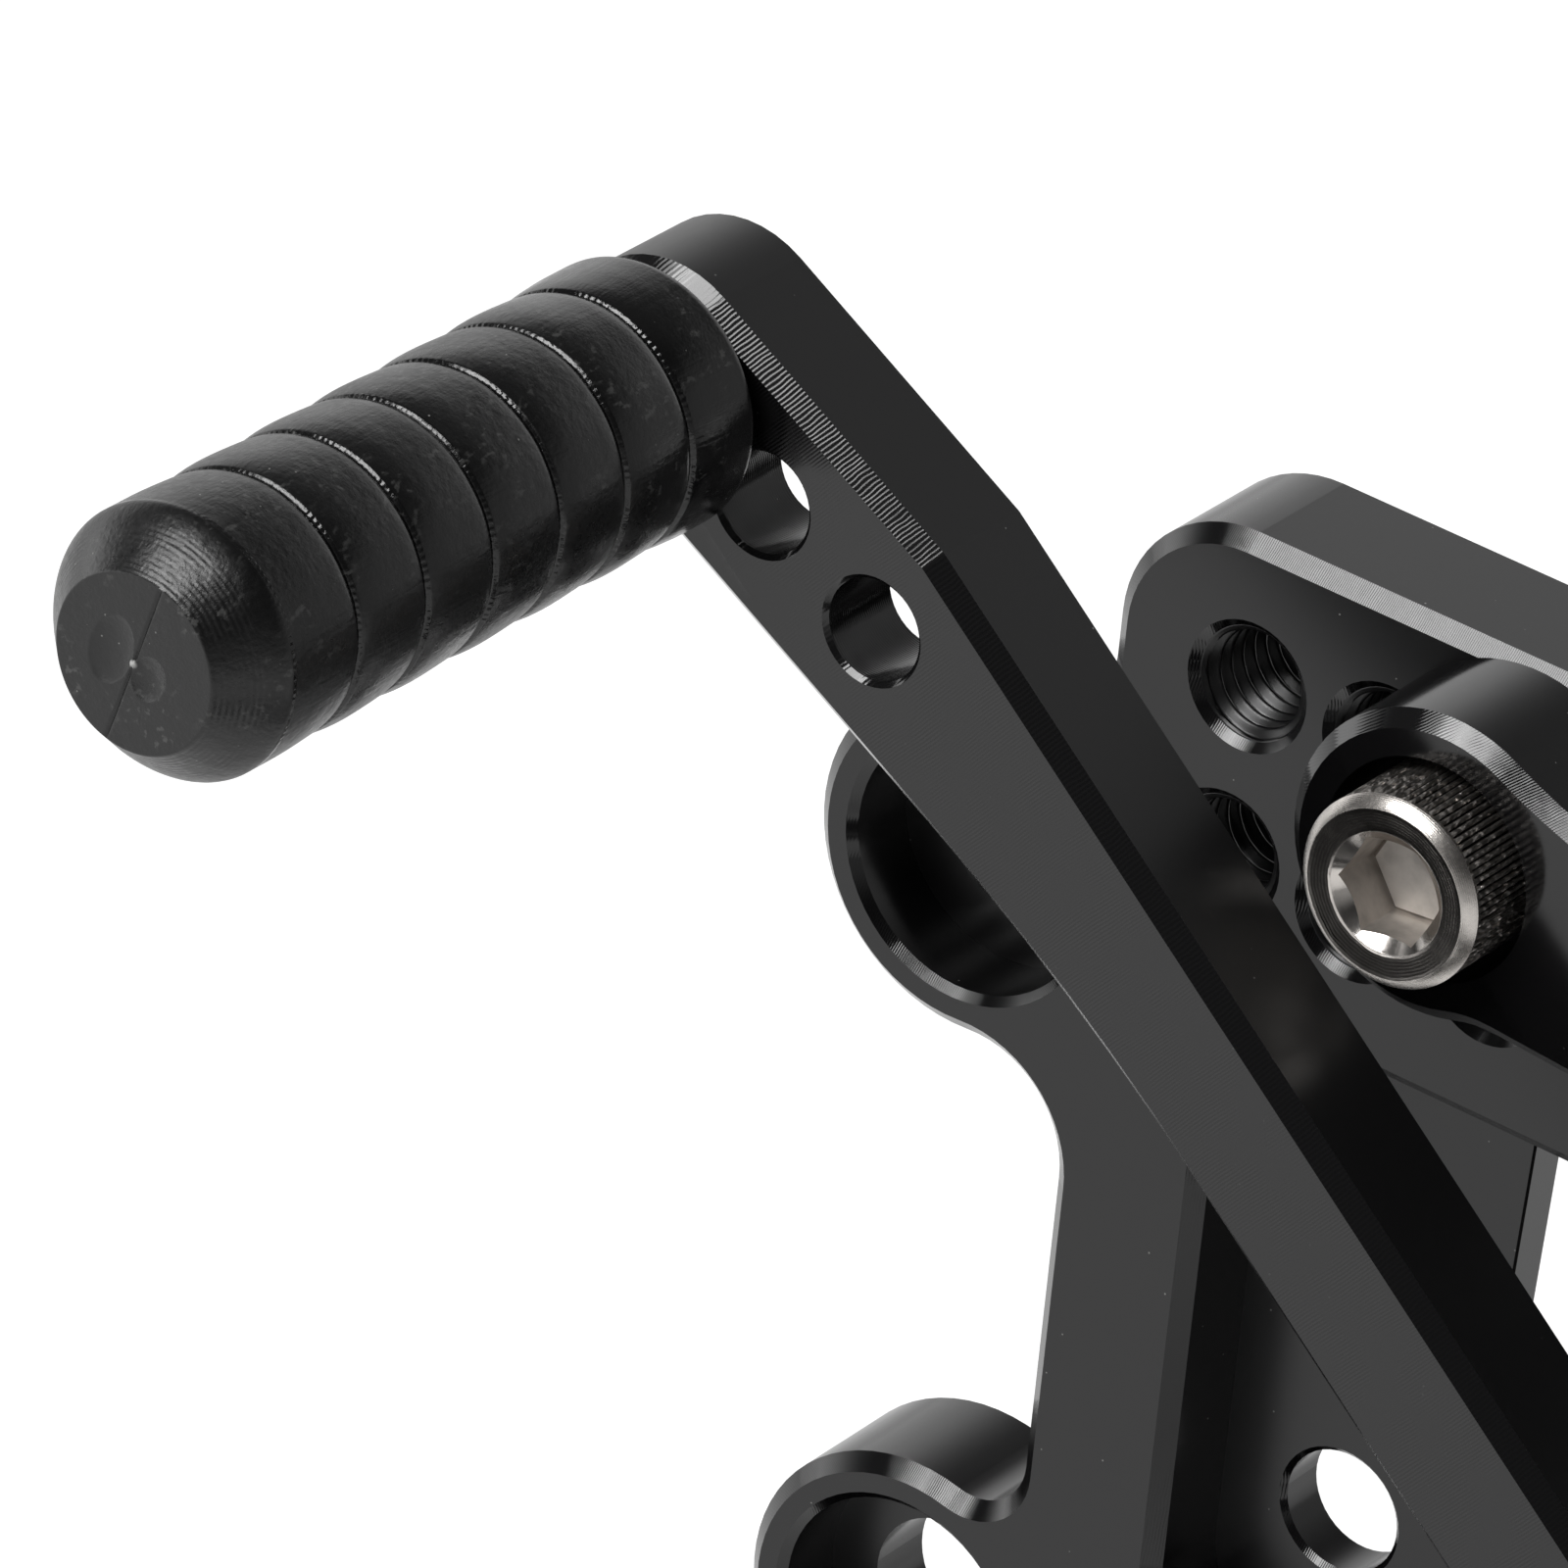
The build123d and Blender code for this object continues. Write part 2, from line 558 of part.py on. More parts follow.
# Pivot stack: bolt and lock washer behind the carrier, shouldered sleeve, and washer under the peg
bolt_room_r = PIVOT_BOLT_D / 2 + BOLT_ROOM
washer_back = PLATE_T + PIVOT_SEAT_DEPTH - LOCK_WASHER_T
with BuildPart() as pivot_bolt:
    with BuildSketch(turning(PIVOT, washer_back)):
        bolt_end = PEG_FACE + PIVOT_REACH - washer_back
        with BuildLine():
            Polyline(
                (0, -PIVOT_HEAD_H), (PIVOT_HEAD_D / 2 - SCREW_RIM, -PIVOT_HEAD_H),
                (PIVOT_HEAD_D / 2, SCREW_RIM - PIVOT_HEAD_H), (PIVOT_HEAD_D / 2, 0), (PIVOT_BOLT_D / 2, 0),
                (PIVOT_BOLT_D / 2, bolt_end), (0, bolt_end), close=True,
            )
        make_face()
    revolve(axis=turning_axis(PIVOT))
    with BuildSketch(level(washer_back - PIVOT_HEAD_H)):
        with Locations(PIVOT):
            RegularPolygon(PIVOT_HEX / 2, 6, major_radius=False)
    extrude(amount=PIVOT_HEX_DEPTH, mode=Mode.SUBTRACT)
pivot_bolt.part.label = "pivot_bolt"
export_step(pivot_bolt.part, "parts/pivot_bolt.step")

with BuildPart() as lock_washer:
    with BuildSketch(level(washer_back)):
        with Locations(PIVOT):
            Circle(PIVOT_HEAD_D / 2)
            Circle(bolt_room_r, mode=Mode.SUBTRACT)
        with Locations((PIVOT[0] + PIVOT_HEAD_D / 2, PIVOT[1])):
            Rectangle(PIVOT_HEAD_D, LOCK_WASHER_GAP, mode=Mode.SUBTRACT)
    extrude(amount=LOCK_WASHER_T)
lock_washer.part.label = "lock_washer"
export_step(lock_washer.part, "parts/lock_washer.step")

with BuildPart() as pivot_sleeve:
    with BuildSketch(turning(PIVOT, CARRIER_FRONT)):
        shoulder_h = BEARING_BACK - CARRIER_FRONT
        spigot_r = BEARING_BORE / 2 - SLIP
        with BuildLine():
            Polyline(
                (bolt_room_r, 0), (SLEEVE_SHOULDER_D / 2, 0), (SLEEVE_SHOULDER_D / 2, shoulder_h),
                (spigot_r, shoulder_h), (spigot_r, shoulder_h + BEARING_W - RUNNING),
                (bolt_room_r, shoulder_h + BEARING_W - RUNNING), close=True,
            )
        make_face()
    revolve(axis=turning_axis(PIVOT))
pivot_sleeve.part.label = "pivot_sleeve"
export_step(pivot_sleeve.part, "parts/pivot_sleeve.step")

with BuildPart() as peg_washer:
    with BuildSketch(level(BEARING_FRONT)):
        with Locations(PIVOT):
            Circle(PEG_WASHER_D / 2)
            Circle(bolt_room_r, mode=Mode.SUBTRACT)
    extrude(amount=PEG_WASHER_T)
peg_washer.part.label = "peg_washer"
export_step(peg_washer.part, "parts/peg_washer.step")

# Foot peg: bar with ring grooves and flutes that leave a field of grip teeth
peg_bar_r = PEG_D / 2
knurl_span = PEG_LENGTH - PEG_COLLAR - PEG_END_LAND
knurl_rings = int(knurl_span / KNURL_PITCH) + 1
grooves = []
for number in range(knurl_rings):
    middle = PEG_COLLAR + (knurl_span - (knurl_rings - 1) * KNURL_PITCH) / 2 + number * KNURL_PITCH
    grooves += [
        (peg_bar_r, middle - KNURL_W / 2),
        (peg_bar_r - KNURL_DEPTH, middle),
        (peg_bar_r, middle + KNURL_W / 2),
    ]
pivot_tap_r = PIVOT_BOLT_D / 2 + THREAD_ROOM
pivot_tap_depth = PIVOT_REACH + PEG_TAP_SPARE
cap_bore_r = CAP_SPIGOT_D / 2 + SLIP
cap_bore_floor = PEG_LENGTH - CAP_SPIGOT_LENGTH - RUNNING
cap_tap_r = CAP_SCREW_D / 2 + THREAD_ROOM
cap_tap_floor = PEG_LENGTH + CAP_T - CAP_SCREW_FLOOR - CAP_SCREW_REACH - PEG_TAP_SPARE
with BuildPart() as foot_peg:
    with BuildSketch(turning(PIVOT, PEG_FACE)):
        with BuildLine():
            Polyline(
                (pivot_tap_r, 0), (peg_bar_r - PEG_EDGE, 0), (peg_bar_r, PEG_EDGE), *grooves,
                (peg_bar_r, PEG_LENGTH - PEG_EDGE), (peg_bar_r - PEG_EDGE, PEG_LENGTH),
                (cap_bore_r, PEG_LENGTH), (cap_bore_r, cap_bore_floor), (cap_tap_r, cap_bore_floor),
                (cap_tap_r, cap_tap_floor), (0, cap_tap_floor), (0, pivot_tap_depth),
                (pivot_tap_r, pivot_tap_depth), close=True,
            )
        make_face()
    revolve(axis=turning_axis(PIVOT))
    with BuildSketch(level(PEG_FACE + PEG_COLLAR)):
        with Locations(PIVOT):
            with PolarLocations(peg_bar_r, FLUTES):
                Rectangle(2 * FLUTE_DEPTH, FLUTE_W)
    extrude(amount=knurl_span, mode=Mode.SUBTRACT)
foot_peg.part.label = "foot_peg"
export_step(foot_peg.part, "parts/foot_peg.step")

# End cap of the foot peg and the screw that holds it
with BuildPart() as peg_end_cap:
    with BuildSketch(turning(PIVOT, PEG_END)) as cap_profile:
        cap_r = peg_bar_r + CAP_FLANGE
        hole_r = CAP_SCREW_D / 2 + BOLT_ROOM
        seat_r = CAP_SCREW_HEAD_D / 2 + BOLT_ROOM
        with BuildLine():
            Polyline(
                (hole_r, -CAP_SPIGOT_LENGTH), (CAP_SPIGOT_D / 2, -CAP_SPIGOT_LENGTH), (CAP_SPIGOT_D / 2, 0),
                (cap_r, 0), (cap_r, CAP_T), (seat_r, CAP_T), (seat_r, CAP_T - CAP_SCREW_FLOOR),
                (hole_r, CAP_T - CAP_SCREW_FLOOR), close=True,
            )
        make_face()
        fillet(nearest(cap_profile, (cap_r, CAP_T)), CAP_DOME_R)
    revolve(axis=turning_axis(PIVOT))
peg_end_cap.part.label = "peg_end_cap"
export_step(peg_end_cap.part, "parts/peg_end_cap.step")

with BuildPart() as end_cap_screw:
    with BuildSketch(turning(PIVOT, PEG_END + CAP_T - CAP_SCREW_FLOOR)):
        cap_head_r = CAP_SCREW_HEAD_D / 2
        with BuildLine():
            Polyline(
                (0, -CAP_SCREW_REACH), (CAP_SCREW_D / 2, -CAP_SCREW_REACH), (CAP_SCREW_D / 2, 0),
                (cap_head_r, 0), (cap_head_r, CAP_SCREW_FLOOR), (0, CAP_SCREW_FLOOR), close=True,
            )
        make_face()
    revolve(axis=turning_axis(PIVOT))
    with BuildSketch(level(PEG_END + CAP_T)):
        with Locations(PIVOT):
            RegularPolygon(CAP_SCREW_HEX / 2, 6, major_radius=False)
    extrude(amount=-CAP_SCREW_HEX_DEPTH, mode=Mode.SUBTRACT)
end_cap_screw.part.label = "end_cap_screw"
export_step(end_cap_screw.part, "parts/end_cap_screw.step")
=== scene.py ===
"""Looks of a motorcycle rear set: anodised plates, a moulded toe peg, steel screws and a studio stage."""
from math import cos, pi, radians, sin

import bpy
import numpy as np
from bpy.props import FloatProperty, FloatVectorProperty, IntProperty, PointerProperty
from mathutils import Matrix, Vector


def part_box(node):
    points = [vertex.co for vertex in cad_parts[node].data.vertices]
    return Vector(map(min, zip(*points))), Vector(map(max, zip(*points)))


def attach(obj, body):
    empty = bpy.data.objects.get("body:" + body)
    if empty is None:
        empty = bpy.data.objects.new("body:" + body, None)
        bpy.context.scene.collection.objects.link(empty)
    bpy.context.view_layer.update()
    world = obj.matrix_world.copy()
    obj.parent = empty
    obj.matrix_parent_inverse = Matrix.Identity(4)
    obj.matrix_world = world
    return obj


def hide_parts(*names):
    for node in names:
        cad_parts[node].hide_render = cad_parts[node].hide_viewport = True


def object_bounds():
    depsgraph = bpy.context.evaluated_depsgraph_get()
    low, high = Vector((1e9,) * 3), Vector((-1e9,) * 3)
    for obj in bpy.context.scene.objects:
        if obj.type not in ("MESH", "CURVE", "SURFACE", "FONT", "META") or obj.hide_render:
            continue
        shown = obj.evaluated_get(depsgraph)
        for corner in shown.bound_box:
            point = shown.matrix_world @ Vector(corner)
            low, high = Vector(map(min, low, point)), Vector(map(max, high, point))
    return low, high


bl_info = {
    "name": "Rear Set Looks",
    "version": (1, 0, 0),
    "blender": (4, 5, 0),
    "location": "3D View > Sidebar > Rear Set",
    "description": "Finishes, screws, threads and studio stage of a motorcycle rear set",
    "category": "Object",
}

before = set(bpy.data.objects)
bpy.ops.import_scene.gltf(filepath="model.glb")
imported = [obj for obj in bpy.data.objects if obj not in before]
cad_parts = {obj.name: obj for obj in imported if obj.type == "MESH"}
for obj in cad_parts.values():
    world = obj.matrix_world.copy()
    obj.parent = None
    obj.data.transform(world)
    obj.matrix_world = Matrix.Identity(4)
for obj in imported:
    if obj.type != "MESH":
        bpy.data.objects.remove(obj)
CAD_BOX = [list(corner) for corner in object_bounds()]
MM = 0.001


# Places read from the frame

def turned_place(node):
    """Axis point (x, z), radius, inner y and outer y of a piece turned about a line along Y."""
    low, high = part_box(node)
    return (low.x + high.x) / 2, (low.z + high.z) / 2, (high.x - low.x) / 2, high.y, low.y


PEG_X, PEG_Z, PEG_R, PEG_SEAT_Y, PEG_TIP_Y = turned_place("toe_peg")
PEG_LENGTH = PEG_SEAT_Y - PEG_TIP_Y
PIVOT_X, PIVOT_Z = turned_place("foot_peg")[:2]
SCREWS = {name: turned_place(name) for name in ("carrier_screw_front", "carrier_screw_rear")}
PLATE_FACE_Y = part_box("base_plate")[0].y


# Properties

class RearSetSizes(bpy.types.PropertyGroup):
    """Sizes of the turned, threaded and knurled pieces."""

    foot_radius: FloatProperty(
        name="Foot radius", description="Radius of the narrow foot that holds the toe peg off the lever",
        default=4.5 * MM, unit="LENGTH")
    foot_height: FloatProperty(
        name="Foot height", description="Height of the toe peg's foot", default=1.2 * MM, unit="LENGTH")
    ring_first: FloatProperty(
        name="First ring", description="Height of the toe peg's first groove above the lever",
        default=5.85 * MM, unit="LENGTH")
    ring_pitch: FloatProperty(
        name="Ring pitch", description="Distance between two grooves of the toe peg",
        default=5.2 * MM, unit="LENGTH")
    ring_count: IntProperty(name="Rings", description="Number of grooves round the toe peg", default=6)
    tip_radius: FloatProperty(
        name="Tip radius", description="Radius of the toe peg's end face", default=4.5 * MM, unit="LENGTH")
    cone_radius: FloatProperty(
        name="Cone radius", description="Radius where the toe peg's end cone starts",
        default=6.1 * MM, unit="LENGTH")
    cone_length: FloatProperty(
        name="Cone length", description="Length of the toe peg's end cone", default=1.9 * MM, unit="LENGTH")
    blend_length: FloatProperty(
        name="Blend length", description="Length of the round between the toe peg's side and its cone",
        default=1.3 * MM, unit="LENGTH")
    parting_angle: FloatProperty(
        name="Parting line", description="Place of the toe peg's mould line round its axis",
        default=radians(76.25), subtype="ANGLE")
    hex_width: FloatProperty(
        name="Hex width", description="Width across flats of a cap screw's socket",
        default=5.0 * MM, unit="LENGTH")
    hex_turn: FloatProperty(
        name="Hex turn", description="Turn of a cap screw's socket about its axis", default=radians(36),
        subtype="ANGLE")
    hex_depth: FloatProperty(
        name="Hex depth", description="Depth of a cap screw's socket", default=3.2 * MM, unit="LENGTH")
    head_height: FloatProperty(
        name="Head height", description="Height of a cap screw's head", default=6.0 * MM, unit="LENGTH")
    screw_radius: FloatProperty(
        name="Thread radius", description="Outer radius of the cap screws' thread",
        default=3.0 * MM, unit="LENGTH")
    knurls: IntProperty(name="Knurls", description="Ridges round a cap screw's head", default=84)
    thread_pitch: FloatProperty(
        name="Thread pitch", description="Pitch of the tapped holes and cap screws",
        default=1.0 * MM, unit="LENGTH")
    thread_depth: FloatProperty(
        name="Thread depth", description="Depth of the thread", default=0.5 * MM, unit="LENGTH")
    tap_radius: FloatProperty(
        name="Tap radius", description="Root radius of a tapped hole", default=3.045 * MM, unit="LENGTH")
    tap_mouth: FloatProperty(
        name="Tap mouth", description="Radius of a tapped hole's countersink at the plate's face",
        default=3.5 * MM, unit="LENGTH")
    grid_pitch_x: FloatProperty(
        name="Grid pitch along", description="Distance between two columns of tapped holes",
        default=8.0 * MM, unit="LENGTH")
    grid_pitch_z: FloatProperty(
        name="Grid pitch up", description="Distance between two rows of tapped holes",
        default=9.5 * MM, unit="LENGTH")


COLOUR = {"size": 3, "subtype": "COLOR", "min": 0, "max": 1}


class RearSetFinish(bpy.types.PropertyGroup):
    """Colours of the finishes."""

    anodised: FloatVectorProperty(
        name="Black anodised", description="Colour of the anodised plates and lever",
        default=(0.0045, 0.0044, 0.0047), **COLOUR)
    moulded: FloatVectorProperty(
        name="Black moulded", description="Colour of the toe peg and the end cap",
        default=(0.0050, 0.0050, 0.0051), **COLOUR)
    stainless: FloatVectorProperty(
        name="Stainless", description="Colour of the screws and washers",
        default=(0.63, 0.595, 0.56), **COLOUR)
    worn: FloatVectorProperty(
        name="Worn moulding", description="Colour of the flecks on the moulded pieces",
        default=(0.052, 0.052, 0.051), **COLOUR)
    # The pip's pale colour is partly its stress whitening and partly a painted glint
    pip: FloatVectorProperty(
        name="Pip and glint", description="Colour of the whitened pip on the toe peg's end",
        default=(0.45, 0.45, 0.44), **COLOUR)
    bearing: FloatVectorProperty(
        name="Bearing steel", description="Colour of the bearing", default=(0.55, 0.55, 0.56),
        **COLOUR)
    spring: FloatVectorProperty(
        name="Spring steel", description="Colour of the bearing's clip and cage", default=(0.22, 0.21, 0.2),
        **COLOUR)
    dust: FloatVectorProperty(
        name="Dust", description="Colour of the fine dust on the black pieces",
        default=(0.30, 0.30, 0.29), **COLOUR)
    floor: FloatVectorProperty(
        name="Floor", description="Colour of the studio floor", default=(0.62, 0.62, 0.62),
        **COLOUR)


class RearSetStage(bpy.types.PropertyGroup):
    """Camera and light of the studio."""

    lens: FloatProperty(
        name="Lens", description="Focal length on a 36 mm sensor, in millimetres", default=330.8)
    camera_place: FloatVectorProperty(
        name="Camera", description="Place of the camera", default=(0.3225, -0.5392, 0.3553),
        size=3, subtype="TRANSLATION", unit="LENGTH")
    floor_drop: FloatProperty(
        name="Floor drop", description="Distance of the floor below the lowest point",
        default=0.0, unit="LENGTH")
    light_distance: FloatProperty(
        name="Light distance", description="Distance of the light panels from the object",
        default=0.8, unit="LENGTH")
    light_height: FloatProperty(
        name="Panel height", description="Height of the light panels", default=0.24, unit="LENGTH")
    light_elevation: FloatProperty(
        name="Light elevation", description="Height of the light panels above the horizon",
        default=radians(49), subtype="ANGLE")
    key_azimuth: FloatProperty(
        name="Key azimuth", description="Direction of the key panel, from the front towards the rear",
        default=radians(-14.5), subtype="ANGLE")
    key_width: FloatProperty(
        name="Key width", description="Width of the key panel", default=0.45, unit="LENGTH")
    key_radiance: FloatProperty(
        name="Key radiance", description="Brightness of the key panel", default=11.0)
    side_azimuth: FloatProperty(
        name="Side azimuth", description="Direction of the side panel, from the front towards the rear",
        default=radians(-43), subtype="ANGLE")
    side_width: FloatProperty(
        name="Side width", description="Width of the side panel", default=0.2, unit="LENGTH")
    side_radiance: FloatProperty(
        name="Side radiance", description="Brightness of the side panel", default=5.0)


# Surfaces

def ring_surface(rings, start=None, end=None, loop=False):
    """Vertices and faces of a stack of closed rings, an array (rows, columns, 3). Neighbouring rings are
    joined by quads; a start or end point closes a side with a fan, and loop joins the last ring to the
    first."""
    rows, columns = rings.shape[:2]
    index = np.arange(rows * columns).reshape(rows, columns)
    low, high = (index, np.roll(index, -1, 0)) if loop else (index[:-1], index[1:])
    quads = np.stack([low, np.roll(low, -1, 1), np.roll(high, -1, 1), high], -1).reshape(-1, 4)
    vertices, faces = [rings.reshape(-1, 3)], [quads]
    for pole, edge, turn in ((start, index[0], 1), (end, index[-1], -1)):
        if pole is not None:
            tip = np.full(columns, sum(len(part) for part in vertices))
            vertices.append(np.array([pole], float))
            faces.append(np.stack([tip, np.roll(edge, -1), edge][::turn], -1))
    return np.concatenate(vertices), faces


def joined(surfaces):
    """One surface out of several, with the vertex numbers of each moved past those before it."""
    vertices, faces, count = [], [], 0
    for part_vertices, part_faces in surfaces:
        vertices.append(part_vertices)
        faces += [block + count for block in part_faces]
        count += len(part_vertices)
    return np.concatenate(vertices), faces


def outward(vertices, faces):
    """The faces turned so that the volume that they enclose, summed over triangles, is positive."""
    volume = 0.0
    for block in faces:
        first = vertices[block[:, 0]]
        for corner in range(1, block.shape[1] - 1):
            second, third = vertices[block[:, corner]], vertices[block[:, corner + 1]]
            volume += np.einsum("ij,ij->i", first, np.cross(second, third)).sum()
    return faces if volume > 0 else [block[:, ::-1] for block in faces]


def piece(name, surface, body, material, crease, replaces=None):
    """Object at the origin with a surface's mesh, shaded smooth up to a crease angle in degrees."""
    vertices, faces = surface
    faces = outward(vertices, faces)
    mesh = bpy.data.meshes.new(name)
    mesh.from_pydata(vertices.tolist(), [], [face for block in faces for face in block.tolist()])
    mesh.shade_smooth()
    mesh.set_sharp_from_angle(angle=radians(crease))
    mesh.materials.append(material)
    made = bpy.data.objects.new(name, mesh)
    bpy.context.scene.collection.objects.link(made)
    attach(made, body)
    if replaces:
        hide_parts(replaces)


def turned(axis, seat_y, radius, height, angle):
    """Points of a turned surface: x and z go round the axis at the radius, y is outward by the height."""
    x = axis[0] + radius * np.cos(angle)
    z = axis[1] + radius * np.sin(angle)
    y = np.broadcast_to(seat_y - height, x.shape)
    return np.stack([x, y, z], -1)


def smooth_step(low, high, value):
    """0 below low, 1 above high, and an S-shaped cubic between them."""
    share = np.clip((value - low) / (high - low), 0, 1)
    return share * share * (3 - 2 * share)


# Node helpers

def add(tree, kind, values=None, **settings):
    """A new node, with its settings, and its inputs given as constants or linked from output sockets."""
    made = tree.nodes.new(kind)
    for key, value in settings.items():
        setattr(made, key, value)
    for key, value in (values or {}).items():
        if isinstance(value, bpy.types.NodeSocket):
            tree.links.new(value, made.inputs[key])
        else:
            made.inputs[key].default_value = value
    return made


def calc(tree, operation, *values):
    """Output of a Math node."""
    return add(tree, "ShaderNodeMath", dict(enumerate(values)), operation=operation).outputs[0]


def plus(tree, value, mask, amount):
    """Value with an amount added to it as far as the mask goes."""
    return calc(tree, "MULTIPLY_ADD", mask, amount, value)


def wave(tree, turns):
    """Sine that repeats with each whole turn."""
    return calc(tree, "SINE", calc(tree, "MULTIPLY", turns, 2 * pi))


def vector(tree, operation, *values, output=0):
    """Output of a Vector Math node."""
    return add(tree, "ShaderNodeVectorMath", dict(enumerate(values)), operation=operation).outputs[output]


def ramp(tree, value, low, high, start=0.0, end=1.0):
    """Value carried smoothly from start to end as the input goes from low to high."""
    made = add(
        tree, "ShaderNodeMapRange",
        {"Value": value, "From Min": low, "From Max": high, "To Min": start, "To Max": end},
        interpolation_type="SMOOTHSTEP")
    return made.outputs["Result"]


def noise(tree, position, scale, detail, stretch=None):
    """Factor of a noise texture, with the position stretched first where given."""
    if stretch:
        position = add(tree, "ShaderNodeMapping", {"Vector": position, "Scale": stretch}).outputs[0]
    made = add(tree, "ShaderNodeTexNoise", {"Vector": position, "Scale": scale, "Detail": detail})
    return made.outputs[0]


def mix_colour(tree, share, first, second):
    """Output of a colour mix."""
    made = add(tree, "ShaderNodeMix", {0: share, 6: first, 7: second}, data_type="RGBA")
    return made.outputs[2]


def new_group(name, inputs, outputs):
    """Empty shader node group with float or vector inputs and float outputs, and its two end nodes."""
    tree = bpy.data.node_groups.new(name, "ShaderNodeTree")
    for label, kind in inputs.items():
        tree.interface.new_socket(label, in_out="INPUT", socket_type=kind)
    for label in outputs:
        tree.interface.new_socket(label, in_out="OUTPUT", socket_type="NodeSocketFloat")
    return tree, tree.nodes.new("NodeGroupInput").outputs, tree.nodes.new("NodeGroupOutput").inputs


def place_group(tree, name, values):
    """Outputs of a node group placed in a material."""
    return add(tree, "ShaderNodeGroup", values, node_tree=bpy.data.node_groups[name]).outputs


FLOAT, VECTOR = "NodeSocketFloat", "NodeSocketVector"


def edge_cut_group():
    """Chamfers, their cutter ticks, and faces. The mask is 1 where the normal leans about 45 degrees out of
    the faces across Y, and the face value is 1 on those faces. The ticks are a sine of the place along the
    direction in which the edges run, with a drift in it."""
    tree, given, result = new_group(
        "edge_cut", {"Position": VECTOR, "Normal": VECTOR, "Along": VECTOR, "Pitch": FLOAT},
        ("Mask", "Ticks", "Face"))
    parts = add(tree, "ShaderNodeSeparateXYZ", {0: given["Normal"]}).outputs
    lean = calc(tree, "ABSOLUTE", parts["Y"])
    mask = calc(tree, "MULTIPLY", ramp(tree, lean, 0.45, 0.6), ramp(tree, lean, 0.82, 0.92, 1.0, 0.0))
    tree.links.new(ramp(tree, lean, 0.95, 0.99), result["Face"])
    place = vector(tree, "DOT_PRODUCT", given["Position"], given["Along"], output="Value")
    turns = calc(tree, "DIVIDE", place, given["Pitch"])
    drift = noise(tree, given["Position"], 900.0, 1.0)
    ticks = wave(tree, calc(tree, "ADD", turns, drift))
    tree.links.new(mask, result["Mask"])
    tree.links.new(calc(tree, "MULTIPLY", ticks, mask), result["Ticks"])


def dust_group():
    """Fine specks: spots about the points of a Voronoi pattern, kept in cells whose random colour is high."""
    tree, given, result = new_group(
        "dust", {"Position": VECTOR, "Spacing": FLOAT, "Size": FLOAT}, ("Mask",))
    scale = calc(tree, "DIVIDE", 1.0, given["Spacing"])
    cells = add(tree, "ShaderNodeTexVoronoi", {"Vector": given["Position"], "Scale": scale}).outputs
    limit = calc(tree, "MULTIPLY", given["Size"], scale)
    near = calc(tree, "LESS_THAN", cells["Distance"], limit)
    parts = add(tree, "ShaderNodeSeparateColor", {0: cells["Color"]}).outputs
    shown = calc(tree, "GREATER_THAN", parts[0], 0.45)
    weight = calc(tree, "MULTIPLY", calc(tree, "MULTIPLY", near, shown), parts[1])
    tree.links.new(weight, result["Mask"])


def mill_arcs_group():
    """Arcs left by a face cutter that ran along a path: each line is the place along the path plus the
    cutter's arc, which is the root of its radius squared less the place across squared."""
    tree, given, result = new_group(
        "mill_arcs",
        {"Position": VECTOR, "Along": VECTOR, "Across": VECTOR, "Radius": FLOAT, "Pitch": FLOAT},
        ("Height",))
    along = vector(tree, "DOT_PRODUCT", given["Position"], given["Along"], output="Value")
    across = vector(tree, "DOT_PRODUCT", given["Position"], given["Across"], output="Value")
    round_square = calc(tree, "POWER", given["Radius"], 2.0)
    square = calc(tree, "SUBTRACT", round_square, calc(tree, "POWER", across, 2.0))
    arc = calc(tree, "SQRT", calc(tree, "MAXIMUM", square, 0.0))
    wobble = calc(tree, "MULTIPLY", noise(tree, given["Position"], 160.0, 2.0), given["Pitch"])
    place = plus(tree, calc(tree, "ADD", along, arc), wobble, 2.5)
    fine = wave(tree, calc(tree, "DIVIDE", place, given["Pitch"]))
    beat = noise(tree, given["Position"], 420.0, 2.0)
    tree.links.new(calc(tree, "MULTIPLY", fine, ramp(tree, beat, 0.35, 0.65)), result["Height"])


def turned_lines_group():
    """Tool lines of a turned or drilled surface: a sine of the distance from the axis plus the place along
    it, broken up by a noise."""
    tree, given, result = new_group(
        "turned_lines", {"Position": VECTOR, "Centre": VECTOR, "Pitch": FLOAT}, ("Height", "Radius"))
    from_axis = vector(tree, "SUBTRACT", given["Position"], given["Centre"])
    flat = vector(tree, "MULTIPLY", from_axis, (1, 0, 1))
    radius = vector(tree, "LENGTH", flat, output="Value")
    depth = add(tree, "ShaderNodeSeparateXYZ", {0: from_axis}).outputs["Y"]
    turns = calc(tree, "DIVIDE", calc(tree, "ADD", radius, depth), given["Pitch"])
    drift = noise(tree, given["Position"], 700.0, 2.0)
    tree.links.new(wave(tree, plus(tree, turns, drift, 1.5)), result["Height"])
    tree.links.new(radius, result["Radius"])


def scuffs_group():
    """Uneven gloss: a broad and a fine noise added together, about 0 in the middle."""
    tree, given, result = new_group("scuffs", {"Position": VECTOR, "Scale": FLOAT}, ("Value",))
    broad = noise(tree, given["Position"], given["Scale"], 2.0)
    fine = noise(tree, given["Position"], calc(tree, "MULTIPLY", given["Scale"], 14.0), 3.0)
    total = calc(tree, "ADD", calc(tree, "SUBTRACT", broad, 0.5), calc(tree, "SUBTRACT", fine, 0.5))
    tree.links.new(total, result["Value"])


BEADS_ROUND = 118
CONE_LINE_PITCH = 0.22 * MM


